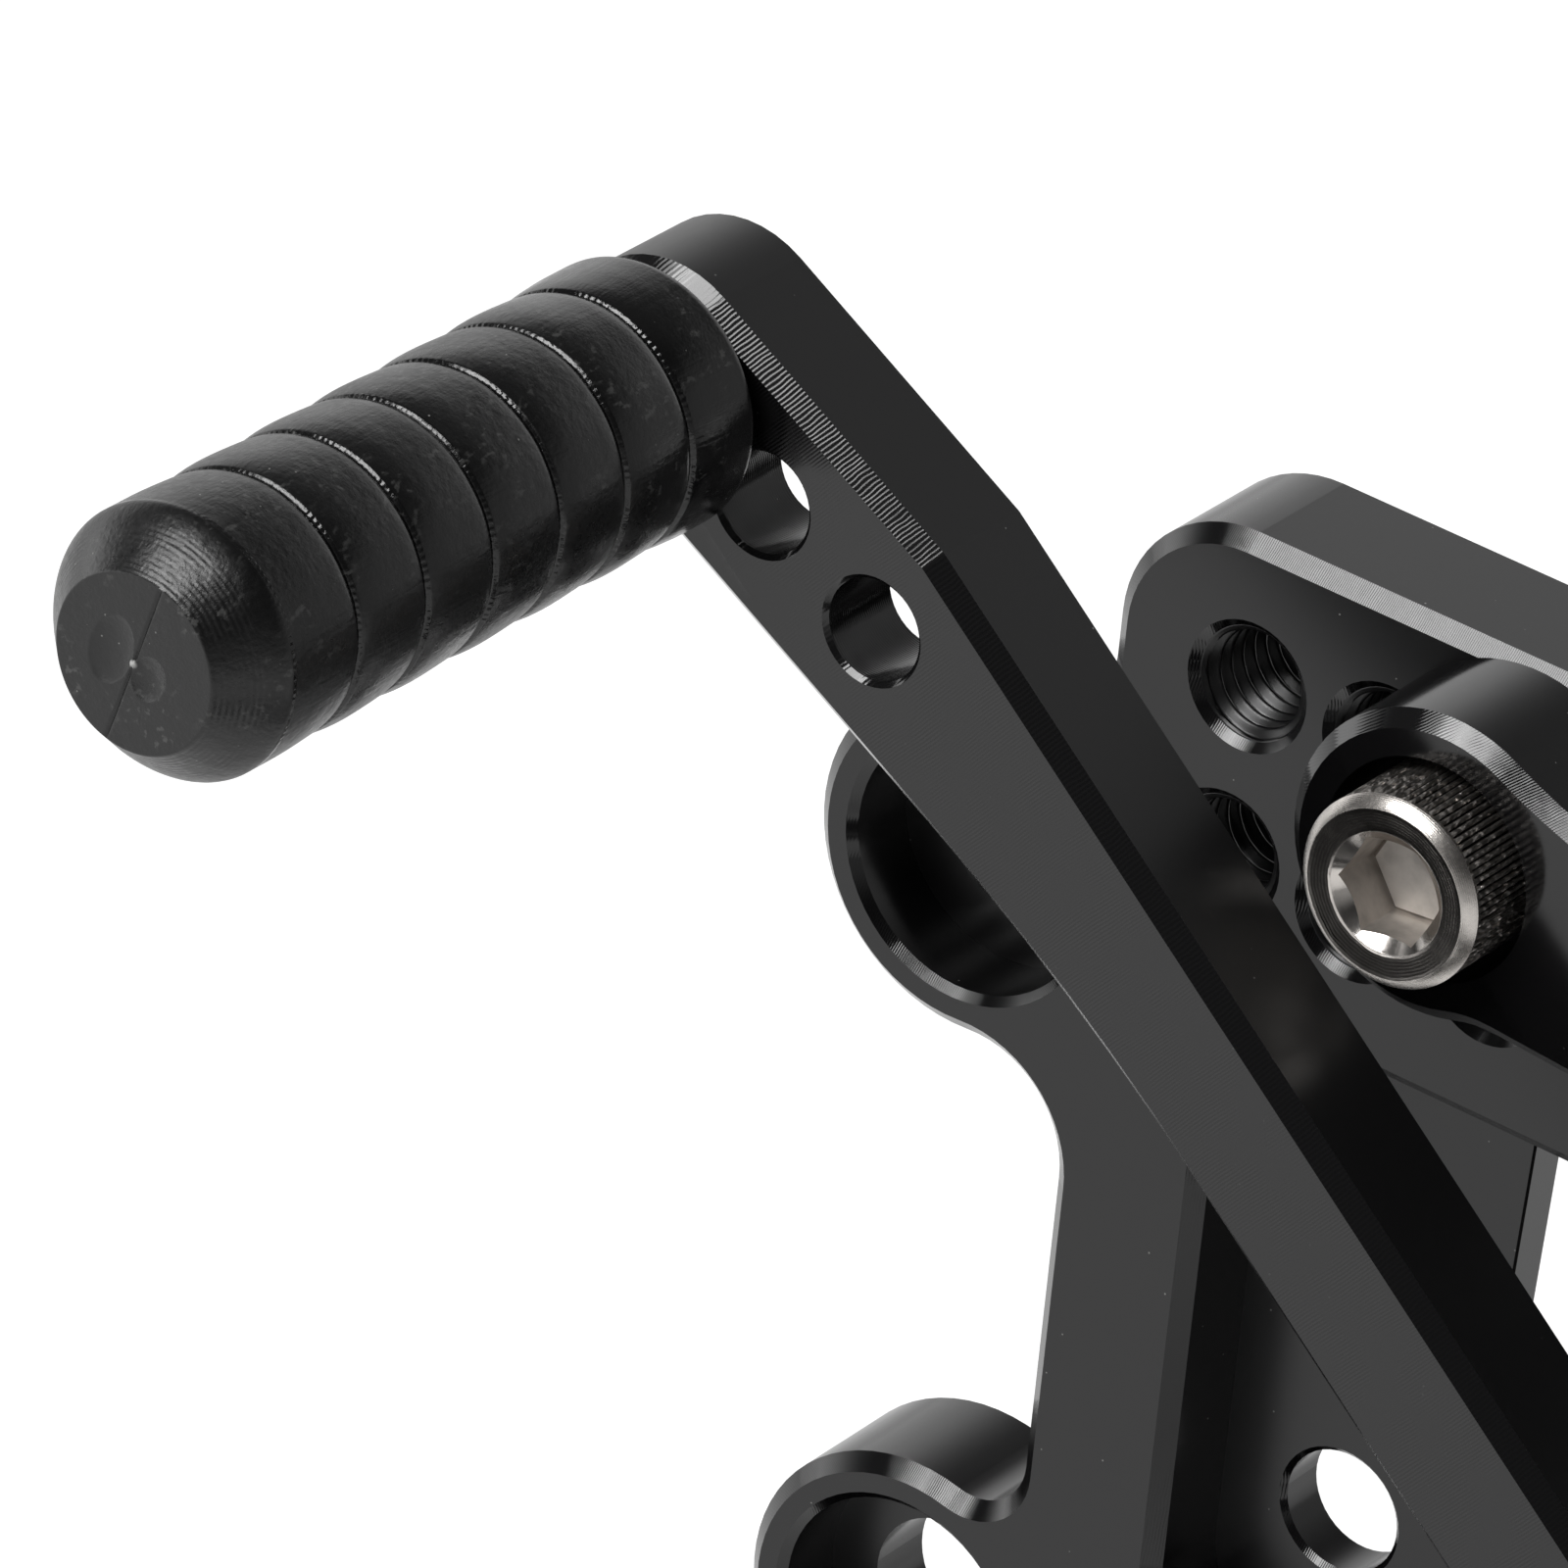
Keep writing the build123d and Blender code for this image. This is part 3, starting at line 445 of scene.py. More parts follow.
def peg_marks_group():
    """Marks round an axis along Y. Beads are a sine of the angle on the lip, the last twentieth of each
    ring's pitch, broken up by a noise; lines are a sine of the height past the start of the cone, uneven in
    strength; the pip is a spot about the axis past there; the skin value climbs from 0 before the first
    ring to 1 at the second."""
    tree, given, result = new_group(
        "peg_marks", {"Position": VECTOR, "Centre": VECTOR, "First": FLOAT, "Pitch": FLOAT, "Cone": FLOAT},
        ("Beads", "Lip", "Lines", "Pip and glint", "Skin"))
    from_centre = vector(tree, "SUBTRACT", given["Position"], given["Centre"])
    parts = add(tree, "ShaderNodeSeparateXYZ", {0: from_centre}).outputs
    height = calc(tree, "MULTIPLY", parts["Y"], -1.0)
    angle = calc(tree, "ARCTAN2", parts["Z"], parts["X"])
    past_first = calc(tree, "SUBTRACT", height, given["First"])
    turn = calc(tree, "FRACT", calc(tree, "DIVIDE", past_first, given["Pitch"]))
    drift = calc(tree, "MULTIPLY", noise(tree, given["Position"], 500.0, 2.0), 9.0)
    beads = calc(tree, "SINE", plus(tree, drift, angle, BEADS_ROUND))
    strong = ramp(tree, noise(tree, given["Position"], 650.0, 2.0), 0.38, 0.6)
    lip = ramp(tree, turn, 0.953, 0.963)
    tree.links.new(lip, result["Lip"])
    tree.links.new(calc(tree, "MULTIPLY", beads, calc(tree, "MULTIPLY", lip, strong)), result["Beads"])
    sway = calc(tree, "MULTIPLY", noise(tree, given["Position"], 260.0, 1.0), 3.0)
    waves = calc(tree, "SINE", plus(tree, sway, height, 2 * pi / CONE_LINE_PITCH))
    past = ramp(tree, calc(tree, "SUBTRACT", height, given["Cone"]), -0.4 * MM, 0.1 * MM)
    worn = ramp(tree, noise(tree, given["Position"], 520.0, 2.0), 0.36, 0.62, 0.15, 1.0)
    tree.links.new(calc(tree, "MULTIPLY", waves, calc(tree, "MULTIPLY", past, worn)), result["Lines"])
    from_axis = vector(tree, "LENGTH", vector(tree, "MULTIPLY", from_centre, (1, 0, 1)), output="Value")
    middle = ramp(tree, from_axis, 0.12 * MM, 0.26 * MM, 1.0, 0.0)
    tree.links.new(calc(tree, "MULTIPLY", middle, past), result["Pip and glint"])
    second = calc(tree, "ADD", given["First"], given["Pitch"])
    tree.links.new(ramp(tree, height, given["First"], second), result["Skin"])


def make_groups():
    """All shared node groups."""
    for build in (
            edge_cut_group, dust_group, mill_arcs_group, turned_lines_group, scuffs_group, peg_marks_group):
        build()


# Materials

def blank_material(name):
    """New material, its tree, its Principled shader and the outputs of a Texture Coordinate node."""
    material = bpy.data.materials.new(name)
    material.use_nodes = True
    tree = material.node_tree
    return material, tree, tree.nodes["Principled BSDF"], tree.nodes.new("ShaderNodeTexCoord").outputs


def bump(tree, shader, *layers):
    """Chain of Bump nodes, each with a height socket and a depth in metres, into the shader's normal."""
    last = None
    for height, depth in layers:
        values = {"Height": height, "Distance": depth, "Strength": 1.0}
        if last:
            values["Normal"] = last
        last = add(tree, "ShaderNodeBump", values).outputs[0]
    tree.links.new(last, shader.inputs["Normal"])


ANODISED_IOR, MOULDED_IOR = 1.53, 1.5
CUTTER_RADIUS, CUTTER_FEED, CUTTER_DEPTH = 16 * MM, 0.17 * MM, 2.0e-6
# Painted shade and sheen: the face's colour runs from dark to pale across each cutter arc, standing in for
# the light that the arcs catch
ARC_PAINTED_SHADE, ARC_PAINTED_SHEEN = (0.0005, 0.0005, 0.0005, 1), (0.013, 0.0128, 0.0134, 1)
BORE_PITCH, BORE_DEPTH, BORE_GLOSS = 0.16 * MM, 3.0e-6, 0.15


def anodised(
        name, gloss, tick_depth, wall=0.16, cut=0.1, tick_turn=0.0, tick_pitch=0.2 * MM, path=None,
        bores=()):
    """Black anodised aluminium: nearly black and glossy, with its own gloss on faces, walls and chamfers,
    cutter ticks on the chamfers, cutter arcs on the faces where a path is given, with painted sheen and
    shade in the colour along them, turned lines inside the listed bores, faint scuffs and specks of dust."""
    finish = bpy.context.scene.rear_set_finish
    material, tree, shader, place = blank_material(name)
    position = place["Object"]
    edge = place_group(tree, "edge_cut", {
        "Position": position, "Normal": place["Normal"], "Along": (cos(tick_turn), 0, sin(tick_turn)),
        "Pitch": tick_pitch})
    scuff = place_group(tree, "scuffs", {"Position": position, "Scale": 90.0})
    specks = place_group(tree, "dust", {"Position": position, "Spacing": 1.2 * MM, "Size": 0.05 * MM})
    base = (*finish.anodised, 1)
    layers = [(edge["Ticks"], tick_depth)]
    if path is not None:
        along, across = (cos(path), 0.0, sin(path)), (-sin(path), 0.0, cos(path))
        arcs = place_group(
            tree, "mill_arcs",
            {"Position": position, "Along": along, "Across": across, "Radius": CUTTER_RADIUS,
             "Pitch": CUTTER_FEED})
        lines = calc(tree, "MULTIPLY", arcs["Height"], edge["Face"])
        layers.append((lines, CUTTER_DEPTH))
        # Painted sheen and shade along the cutter arcs: the colour swings between dark and pale with the
        # arcs' height
        base = mix_colour(tree, ramp(tree, lines, -1.0, 1.0), ARC_PAINTED_SHADE, ARC_PAINTED_SHEEN)
    colour = mix_colour(tree, specks["Mask"], base, (*finish.dust, 1))
    tree.links.new(colour, shader.inputs["Base Color"])
    even = ramp(tree, edge["Face"], 0, 1, wall, gloss)
    plain = plus(tree, even, scuff["Value"], 0.04)
    rough = plus(tree, plain, edge["Mask"], calc(tree, "SUBTRACT", cut, plain))
    for x, z, radius in bores:
        lines = place_group(
            tree, "turned_lines", {"Position": position, "Centre": (x, 0, z), "Pitch": BORE_PITCH})
        inside = ramp(tree, lines["Radius"], radius, radius * 1.03, 1.0, 0.0)
        layers.append((calc(tree, "MULTIPLY", lines["Height"], inside), BORE_DEPTH))
        rough = calc(tree, "MINIMUM", rough, ramp(tree, inside, 0, 1, 1.0, BORE_GLOSS))
    tree.links.new(rough, shader.inputs["Roughness"])
    bump(tree, shader, *layers)
    shader.inputs["IOR"].default_value = ANODISED_IOR
    return material


def moulded(name, sizes=None):
    """Black moulded plastic: streaks along the axis, a mottled skin, matt scuffs and pale flecks. With the
    toe peg's sizes it also has beads on the lips of its grooves, lines round its cone, a pale pip on its
    end that is partly its stress whitening and partly a painted glint, and a smoother, glossier collar."""
    finish = bpy.context.scene.rear_set_finish
    material, tree, shader, place = blank_material(name)
    position = place["Object"]
    scuff = place_group(tree, "scuffs", {"Position": position, "Scale": 220.0})
    specks = place_group(tree, "dust", {"Position": position, "Spacing": 0.9 * MM, "Size": 0.05 * MM})
    patch = ramp(tree, noise(tree, position, 260.0, 2.0), 0.46, 0.62)
    fleck = ramp(tree, noise(tree, position, 2600.0, 3.0, (1.0, 0.6, 1.0)), 0.56, 0.70)
    worn = calc(tree, "MULTIPLY", patch, fleck)
    base = mix_colour(tree, worn, (*finish.moulded, 1), (*finish.worn, 1))
    base = mix_colour(tree, specks["Mask"], base, (*finish.dust, 1))
    rough = plus(tree, 0.31, scuff["Value"], 0.22)
    streaks = noise(tree, position, 1.0, 4.0, (5200.0, 260.0, 5200.0))
    mottle = noise(tree, position, 1500.0, 4.0)
    pits = noise(tree, position, 5200.0, 3.0)
    layers = [(streaks, 1.5e-5), (pits, 1.0e-5)]
    if sizes:
        marks = place_group(tree, "peg_marks", {
            "Position": position, "Centre": (PEG_X, PEG_SEAT_Y, PEG_Z), "First": sizes.ring_first,
            "Pitch": sizes.ring_pitch, "Cone": PEG_LENGTH - sizes.cone_length})
        mottle = calc(tree, "MULTIPLY", mottle, ramp(tree, marks["Skin"], 0, 1, 0.25, 1.0))
        layers += [(marks["Beads"], 7.0e-6), (marks["Lines"], 5.5e-6)]
        rough = calc(tree, "SUBTRACT", rough, ramp(tree, marks["Skin"], 0, 1, 0.1, 0.0))
        rough = plus(tree, rough, marks["Lip"], -0.16)
        # Pale pip colour: partly stress whitening, partly a painted glint
        base = mix_colour(tree, marks["Pip and glint"], base, (*finish.pip, 1))
    tree.links.new(base, shader.inputs["Base Color"])
    tree.links.new(rough, shader.inputs["Roughness"])
    bump(tree, shader, (mottle, 3.4e-5), *layers)
    shader.inputs["IOR"].default_value = MOULDED_IOR
    return material


STAIN_SHADE = 0.78
LINE_DEPTH, GRAIN_DEPTH, TORN_DEPTH = 1.5e-6, 5.0e-6, 6.0e-4
# Painted shade for the knurl's valleys: a dark colour where the head's ridges leave hollows
KNURL_VALLEY_SHADE = (0.06, 0.057, 0.054, 1)


def steel(name, colour, gloss, centre, pitch=0.14 * MM, plain=0.0, side=None):
    """Bare steel: metal with turned lines about an axis along Y outside the plain radius, uneven gloss and a
    few darker stains. Outside the plain radius, rounded edges are duller; inside it, upright walls and flat
    floors are matt. Where a side radius is given, the wall near it is duller and torn, and painted shade
    darkens its valleys."""
    material, tree, shader, place = blank_material(name)
    position = place["Object"]
    scuff = place_group(tree, "scuffs", {"Position": position, "Scale": 400.0})
    stain = ramp(tree, noise(tree, position, 900.0, 4.0), 0.35, 0.7)
    dark = tuple(STAIN_SHADE * value for value in colour)
    base = mix_colour(tree, stain, (*colour, 1), (*dark, 1))
    lines = place_group(tree, "turned_lines", {"Position": position, "Centre": centre, "Pitch": pitch})
    lean = calc(tree, "ABSOLUTE", add(tree, "ShaderNodeSeparateXYZ", {0: place["Normal"]}).outputs["Y"])
    upright = ramp(tree, lean, 0.3, 0.5, 1.0, 0.0)
    flat = ramp(tree, lean, 0.9, 0.97)
    outside = ramp(tree, lines["Radius"], plain, plain + 0.1 * MM)
    inside = calc(tree, "SUBTRACT", 1.0, outside)
    rounded = calc(tree, "SUBTRACT", calc(tree, "SUBTRACT", 1.0, upright), flat)
    rough = plus(tree, gloss, scuff["Value"], 0.12)
    rough = plus(tree, rough, calc(tree, "MULTIPLY", inside, calc(tree, "MAXIMUM", upright, flat)), 0.4)
    rough = plus(tree, rough, calc(tree, "MULTIPLY", rounded, outside), 0.14)
    grain = calc(tree, "MULTIPLY", noise(tree, position, 3800.0, 3.0), GRAIN_DEPTH)
    height = plus(tree, grain, lines["Height"], LINE_DEPTH)
    layers = [(calc(tree, "MULTIPLY", height, outside), 1.0)]
    if side:
        wall = calc(tree, "MULTIPLY", upright, ramp(tree, lines["Radius"], side * 0.93, side * 0.95))
        rough = plus(tree, rough, wall, 0.26)
        # Painted shade: the deepest part of each knurl valley is coloured dark
        valley_shade = ramp(tree, lines["Radius"], side * 0.960, side * 0.972, 1.0, 0.0)
        base = mix_colour(tree, calc(tree, "MULTIPLY", wall, valley_shade), base, KNURL_VALLEY_SHADE)
        torn = noise(tree, position, 1.0, 1.0, (2700.0, 1300.0, 2700.0))
        layers.append((calc(tree, "MULTIPLY", torn, wall), TORN_DEPTH))
    tree.links.new(base, shader.inputs["Base Color"])
    tree.links.new(rough, shader.inputs["Roughness"])
    bump(tree, shader, *layers)
    shader.inputs["Metallic"].default_value = 1.0
    return material


def dress(material, *nodes):
    """Gives carried-over nodes a material."""
    for name in nodes:
        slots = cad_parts[name].data.materials
        slots.clear()
        slots.append(material)


# Pieces

# Row of the lever's toe peg holes: its turn, its start from the peg's axis, its pitch and the holes' radius
HOLE_ROW_TURN = radians(-29)
HOLE_ROW_START = (PEG_X - 0.1 * MM, PEG_Z + 0.4 * MM)
HOLE_PITCH, HOLE_RADIUS = 8.15 * MM, 2.66 * MM


class REARSET_OT_plates(bpy.types.Operator):
    """Finishes of the base plate, the foot-peg carrier and the shift lever"""

    bl_idname = "rearset.plates"
    bl_label = "Anodised Plates"

    def execute(self, context):
        dress(
            anodised("plate_black", gloss=0.3, wall=0.18, tick_pitch=0.12 * MM, tick_depth=1.8e-6),
            "base_plate")
        dress(
            anodised(
                "carrier_black", gloss=0.11, tick_turn=radians(-50), tick_pitch=0.13 * MM,
                tick_depth=1.5e-6),
            "peg_carrier")
        row_x, row_z = HOLE_ROW_START
        step_x, step_z = HOLE_PITCH * cos(HOLE_ROW_TURN), HOLE_PITCH * sin(HOLE_ROW_TURN)
        bores = [(row_x + number * step_x, row_z + number * step_z, HOLE_RADIUS) for number in (1, 2)]
        dress(
            anodised(
                "lever_black", gloss=0.13, wall=0.36, cut=0.14, tick_turn=radians(-33),
                tick_pitch=0.23 * MM, tick_depth=2.1e-6, path=radians(-39.2), bores=bores),
            "shift_lever")
        return {"FINISHED"}


# Place after a groove and depth below the peg's radius, in millimetres, over one section of the toe peg
SECTION = np.array([
    (0.00, 0.49), (0.04, 0.50), (0.09, 0.48), (0.14, 0.38), (0.20, 0.29), (0.32, 0.24), (0.5, 0.205),
    (0.8, 0.165), (1.2, 0.14), (1.7, 0.11), (2.2, 0.085), (2.7, 0.065), (3.2, 0.055), (3.6, 0.06),
    (3.95, 0.075), (4.25, 0.10), (4.5, 0.13), (4.7, 0.16), (4.85, 0.188), (4.94, 0.206), (4.985, 0.222),
    (5.01, 0.242), (5.055, 0.285), (5.10, 0.33), (5.15, 0.385), (5.18, 0.455),
])
SECTION_LENGTH = 5.2
CROWN_PLACE = 3.4
# Place after the foot and depth below the peg's radius, in millimetres, over the collar
COLLAR = np.array([
    (0.02, 0.2), (0.06, 0.1), (0.16, 0.03), (0.4, 0.012), (0.8, 0.01), (1.2, 0.01), (1.6, 0.01),
    (2.0, 0.012), (2.4, 0.02),
])
# Hairline after a groove: its place and width in millimetres, and its depth over the groove's number
HAIR_PLACE, HAIR_WIDTH = 1.5, 0.12
HAIR_NUMBERS, HAIR_DEPTHS = (-1, 0, 1, 2, 3), (0, 0.05, 0.035, 0.02, 0)
# Scoops of the end face: middle across and along the mould line, and half width and length, in millimetres
SCOOPS = ((1.32, -0.1, 1.2, 1.9), (-1.0, -0.2, 0.95, 1.2))
# Depths on the end face, in millimetres
FACE_DROP, SCOOP_DEPTH, GROOVE_DEPTH, PIP_HEIGHT = 0.12, 0.24, 0.10, 0.12
PEG_COLUMNS = 288


def toe_peg_profile(sizes):
    """Heights and radii from the foot to the end of the blend: the narrow foot, the collar, then one section
    after each groove. A section climbs gently, rounds over its nose and drops past a small lip into the
    next groove. The last one runs on into the blend, whose depth grows with the power 1.4."""
    shoulders = sizes.ring_first + sizes.ring_pitch * np.arange(sizes.ring_count)
    place, depth = SECTION.T * MM
    place = place * sizes.ring_pitch / (SECTION_LENGTH * MM)
    nose = SECTION[:, 0] > CROWN_PLACE
    crown = SECTION[:, 0] < CROWN_PLACE
    foot = np.array([0.0, sizes.foot_height])
    collar, collar_depth = COLLAR.T * MM
    collar = sizes.foot_height + collar
    start = PEG_LENGTH - sizes.cone_length - sizes.blend_length
    plain = np.linspace(shoulders[-1] + 3.6 * MM, start - 0.1 * MM, 4)
    share = np.linspace(0, 1, 11)
    top = PEG_R - depth.min()
    heights = np.concatenate([
        foot, collar, (shoulders[0] - sizes.ring_pitch + place)[nose],
        (shoulders[:-1, None] + place[None, :]).ravel(), (shoulders[-1] + place)[crown],
        plain, start + share * sizes.blend_length])
    radii = np.concatenate([
        np.full(2, sizes.foot_radius), PEG_R - collar_depth, (PEG_R - depth)[nose],
        np.tile(PEG_R - depth, sizes.ring_count - 1), (PEG_R - depth)[crown],
        np.full(4, top), top - (top - sizes.cone_radius) * share**1.4])
    return heights, radii


def toe_peg_surface(sizes):
    """Toe peg as radius over height and angle. The grooves sway a little along the axis, hairlines run
    after the first three, the side is slightly out of round, and it steps in at the mould line. The tip is
    a cone and an end face with two oval scoops beside the mould line's groove, and a pip."""
    angle = np.linspace(0, 2 * pi, PEG_COLUMNS, endpoint=False)[None, :]
    heights, radii = toe_peg_profile(sizes)
    count = np.arange(sizes.ring_count)[:, None]
    sway = np.zeros((sizes.ring_count + 2, PEG_COLUMNS))
    sway[1:-1] = 0.05 * np.sin(angle + 2.1 * count) + 0.025 * np.sin(3 * angle + count)
    sway[1:-1] += 0.012 * np.sin(11 * angle + 4 * count)
    turn = np.clip((heights - sizes.ring_first) / sizes.ring_pitch, -1, sizes.ring_count - 0.001)
    number = np.floor(turn)
    lower = number.astype(int) + 1
    share = (turn - number)[:, None]
    levels = heights[:, None] + ((1 - share) * sway[lower] + share * sway[lower + 1]) * MM
    radius = np.repeat(radii[:, None], PEG_COLUMNS, 1)
    after = (turn - number) * sizes.ring_pitch / MM - HAIR_PLACE
    hair = np.interp(number, HAIR_NUMBERS, HAIR_DEPTHS) * np.exp(-(after / HAIR_WIDTH)**2)
    radius -= hair[:, None] * MM
    from_line = (angle - sizes.parting_angle) % pi
    step = np.exp(-(pi - from_line) * PEG_R / (1.6 * MM))
    ends = np.clip(np.abs(turn - 2.5) - 2.2, 0.12, 0.8)[:, None]
    body = smooth_step(sizes.foot_height, sizes.foot_height + 0.3 * MM, heights)[:, None]
    radius -= 0.035 * MM * step * ends * body
    radius -= 0.02 * MM * (1 + np.sin(2 * angle + heights[:, None] / (7 * MM))) * body
    cone = np.concatenate([np.linspace(0.06, 0.96, 10), [1.0]])[:, None]
    cone_radius = radius[-1:] + (sizes.tip_radius - radius[-1:]) * cone
    cone_level = PEG_LENGTH - sizes.cone_length * (1 - cone) - FACE_DROP * MM * cone
    face = np.concatenate([np.linspace(0.985, 0.6, 12), np.linspace(0.575, 0.02, 34)])[:, None]
    face_radius = face * cone_radius[-1:]
    along = face_radius * np.cos(angle - sizes.parting_angle) / MM
    across = face_radius * np.sin(angle - sizes.parting_angle) / MM
    reach = np.min([
        np.hypot((across - middle) / width, (along - place) / length)
        for middle, place, width, length in SCOOPS], 0)
    scoop = np.clip(1 - reach**2, 0, 1)**0.8
    groove = np.exp(-(across / 0.07)**2) * smooth_step(0.0, 0.4 * MM, face_radius)
    pip = np.exp(-(face_radius / (0.2 * MM))**2)
    drop = FACE_DROP + SCOOP_DEPTH * scoop * (1 - pip) + GROOVE_DEPTH * groove - PIP_HEIGHT * pip
    radius = np.concatenate([radius, cone_radius, face_radius])
    levels = np.concatenate([levels, np.broadcast_to(cone_level, cone_radius.shape), PEG_LENGTH - drop * MM])
    rings = turned((PEG_X, PEG_Z), PEG_SEAT_Y, radius, levels, angle)
    return ring_surface(rings, start=(PEG_X, PEG_SEAT_Y, PEG_Z), end=(PEG_X, PEG_TIP_Y, PEG_Z))


class REARSET_OT_toe_peg(bpy.types.Operator):
    """Moulded toe peg with rings, mould line and tip"""

    bl_idname = "rearset.toe_peg"
    bl_label = "Toe Peg"

    def execute(self, context):
        sizes = context.scene.rear_set_sizes
        piece(
            "toe_peg_moulding", toe_peg_surface(sizes), "lever",
            moulded("peg_moulded", sizes), crease=50.0, replaces="toe_peg")
        return {"FINISHED"}


def thread_wave(turns):
    """Share of the thread's depth, 0 at the crest and 1 at the root: a triangle wave with cut-off tips."""
    return np.clip(1.3 * np.abs(2 * (turns % 1.0) - 1) - 0.15, 0, 1)


# Cap screw's head, in millimetres: rim, knurl depth, fall of the flat ring, dish of the socket's floor
RIM, KNURL_DEPTH, RING_FALL, FLOOR_DISH = 0.6, 0.24, 0.17, 0.08
KNURL_COLUMNS = 8
MOUTH_RATIO = 1.265
MOUTH_SLOPE = 0.85


def cap_screw_surface(sizes, place):
    """Socket screw as rings of radius and height over the angle: thread, shank, head side with straight
    knurls, rounded rim, flat ring, countersink cone down to the hexagon, hexagon walls and a nearly flat
    floor."""
    x, z, head_r, tip_y, top_y = place
    seat_y = top_y + sizes.head_height
    reach = tip_y - seat_y
    angle = np.linspace(0, 2 * pi, sizes.knurls * KNURL_COLUMNS, endpoint=False)[None, :]
    flat = np.ones_like(angle)
    root = sizes.screw_radius - sizes.thread_depth
    rows = []

    def row(radius, height):
        rows.append((radius * flat, height * flat))

    row(root * 0.9, -reach)
    for height in np.linspace(-reach + 0.2 * MM, -1.0 * MM, 40):
        run_in = smooth_step(-reach, -reach + 0.8 * MM, height)
        depth_share = thread_wave(height / sizes.thread_pitch - angle / (2 * pi))
        row(root + sizes.thread_depth * run_in * (1 - depth_share), height)
    row(sizes.screw_radius, -0.9 * MM)
    row(sizes.screw_radius, 0.0)
    row(head_r - 0.15 * MM, 0.0)
    valley = (0.5 + 0.5 * np.cos(sizes.knurls * angle))**1.6
    uneven = 0.88 + 0.12 * np.sin(5 * angle + 1.0) * np.sin(13 * angle)
    rim = RIM * MM
    knurl_end, knurl_top = 0.15 * MM, sizes.head_height - rim - 0.06 * MM
    for share in (0.0, 0.08, 0.3, 0.5, 0.7, 0.93, 0.965, 1.0):
        fade = smooth_step(0, 0.08, share) * (1 - smooth_step(0.93, 1.0, share))
        depth = 0.02 + KNURL_DEPTH * valley * uneven * fade
        row(head_r - depth * MM, knurl_end + share * (knurl_top - knurl_end))
    row(head_r, sizes.head_height - rim - 0.02 * MM)
    for turn in np.linspace(0.0, 1.0, 9):
        row(head_r - rim * turn**1.15, sizes.head_height - rim * (1 - turn)**1.15)
    sector = (angle - sizes.hex_turn + pi / 6) % (pi / 3) - pi / 6
    hexagon = sizes.hex_width / 2 / np.cos(sector)
    mouth = sizes.hex_width / 2 * MOUTH_RATIO
    edge = head_r - rim - 0.04 * MM
    for share in np.linspace(0, 1, 6):
        level = sizes.head_height - (0.02 + RING_FALL * share) * MM
        row(edge + share * (mouth + 0.03 * MM - edge), level)
    lip = sizes.head_height - 0.21 * MM
    mouth_drop = MOUTH_SLOPE * (mouth - hexagon)
    for share in np.linspace(0, 1, 7):
        row(mouth + share * (hexagon - mouth), lip - share * mouth_drop)
    for share in np.linspace(0.06, 1, 6):
        row(hexagon * (1 - 0.01 * share), lip - mouth_drop - share * (sizes.hex_depth - mouth_drop))
    floor = sizes.head_height - sizes.hex_depth
    for share in np.linspace(0.9, 0.1, 5):
        row(hexagon * share, floor - (1 - share) * FLOOR_DISH * MM)
    radii = np.concatenate([radius for radius, height in rows])
    levels = np.concatenate([height for radius, height in rows])
    rings = turned((x, z), seat_y, radii, levels, angle)
    return ring_surface(rings, start=(x, tip_y, z), end=(x, seat_y - floor + FLOOR_DISH * MM, z))


class REARSET_OT_cap_screws(bpy.types.Operator):
    """Knurled socket screws of the carrier"""

    bl_idname = "rearset.cap_screws"
    bl_label = "Carrier Screws"

    def execute(self, context):
        sizes, finish = context.scene.rear_set_sizes, context.scene.rear_set_finish
        for name, place in SCREWS.items():
            material = steel(
                name + "_steel", tuple(finish.stainless), 0.13, (place[0], 0, place[1]), plain=3.1 * MM,
                side=place[2])
            piece(
                name + "_knurled", cap_screw_surface(sizes, place), "plate", material,
                crease=30.0, replaces=name)
        return {"FINISHED"}


TAP_COLUMNS, TAP_ROWS = 56, 110


def tapped_surface(sizes, x, z):
    """Thread of one tapped hole as a closed sleeve: its inner radius is the thread's wave over height and
    angle, never less than the cones of the countersinks at both mouths; its outer wall is plain."""
    angle = np.linspace(0, 2 * pi, TAP_COLUMNS, endpoint=False)[None, :]
    bottom, top = 0.02 * MM, -PLATE_FACE_Y - (sizes.tap_mouth - sizes.tap_radius)
    heights = np.linspace(bottom, top, TAP_ROWS)[:, None]
    depth_share = thread_wave(heights / sizes.thread_pitch - angle / (2 * pi))
    inner = sizes.tap_radius - sizes.thread_depth * (1 - depth_share)
    mouth = np.maximum(sizes.tap_radius - (top - heights), sizes.tap_radius - heights)
    inner = np.maximum(inner, mouth)
    outer = np.full((2, TAP_COLUMNS), sizes.tap_radius + 0.002 * MM)
    radii = np.concatenate([inner, outer])
    heights = np.concatenate([heights, [[top], [bottom]]])
    levels = np.broadcast_to(heights, radii.shape)
    return ring_surface(turned((x, z), 0.0, radii, levels, angle), loop=True)


class REARSET_OT_tapped_holes(bpy.types.Operator):
    """Threads of the grid holes that hold no screw"""

    bl_idname = "rearset.tapped_holes"
    bl_label = "Tapped Holes"

    def execute(self, context):
        sizes = context.scene.rear_set_sizes
        holes = [
            (place[0] - column * sizes.grid_pitch_x, place[1] - row * sizes.grid_pitch_z)
            for place in SCREWS.values() for column in range(3) for row in range(2)
            if column or row
        ]
        material = anodised("thread_black", gloss=0.3, wall=0.3, cut=0.3, tick_depth=0.2e-6)
        piece(
            "tapped_threads", joined([tapped_surface(sizes, x, z) for x, z in holes]), "plate",
            material, crease=60.0)
        return {"FINISHED"}


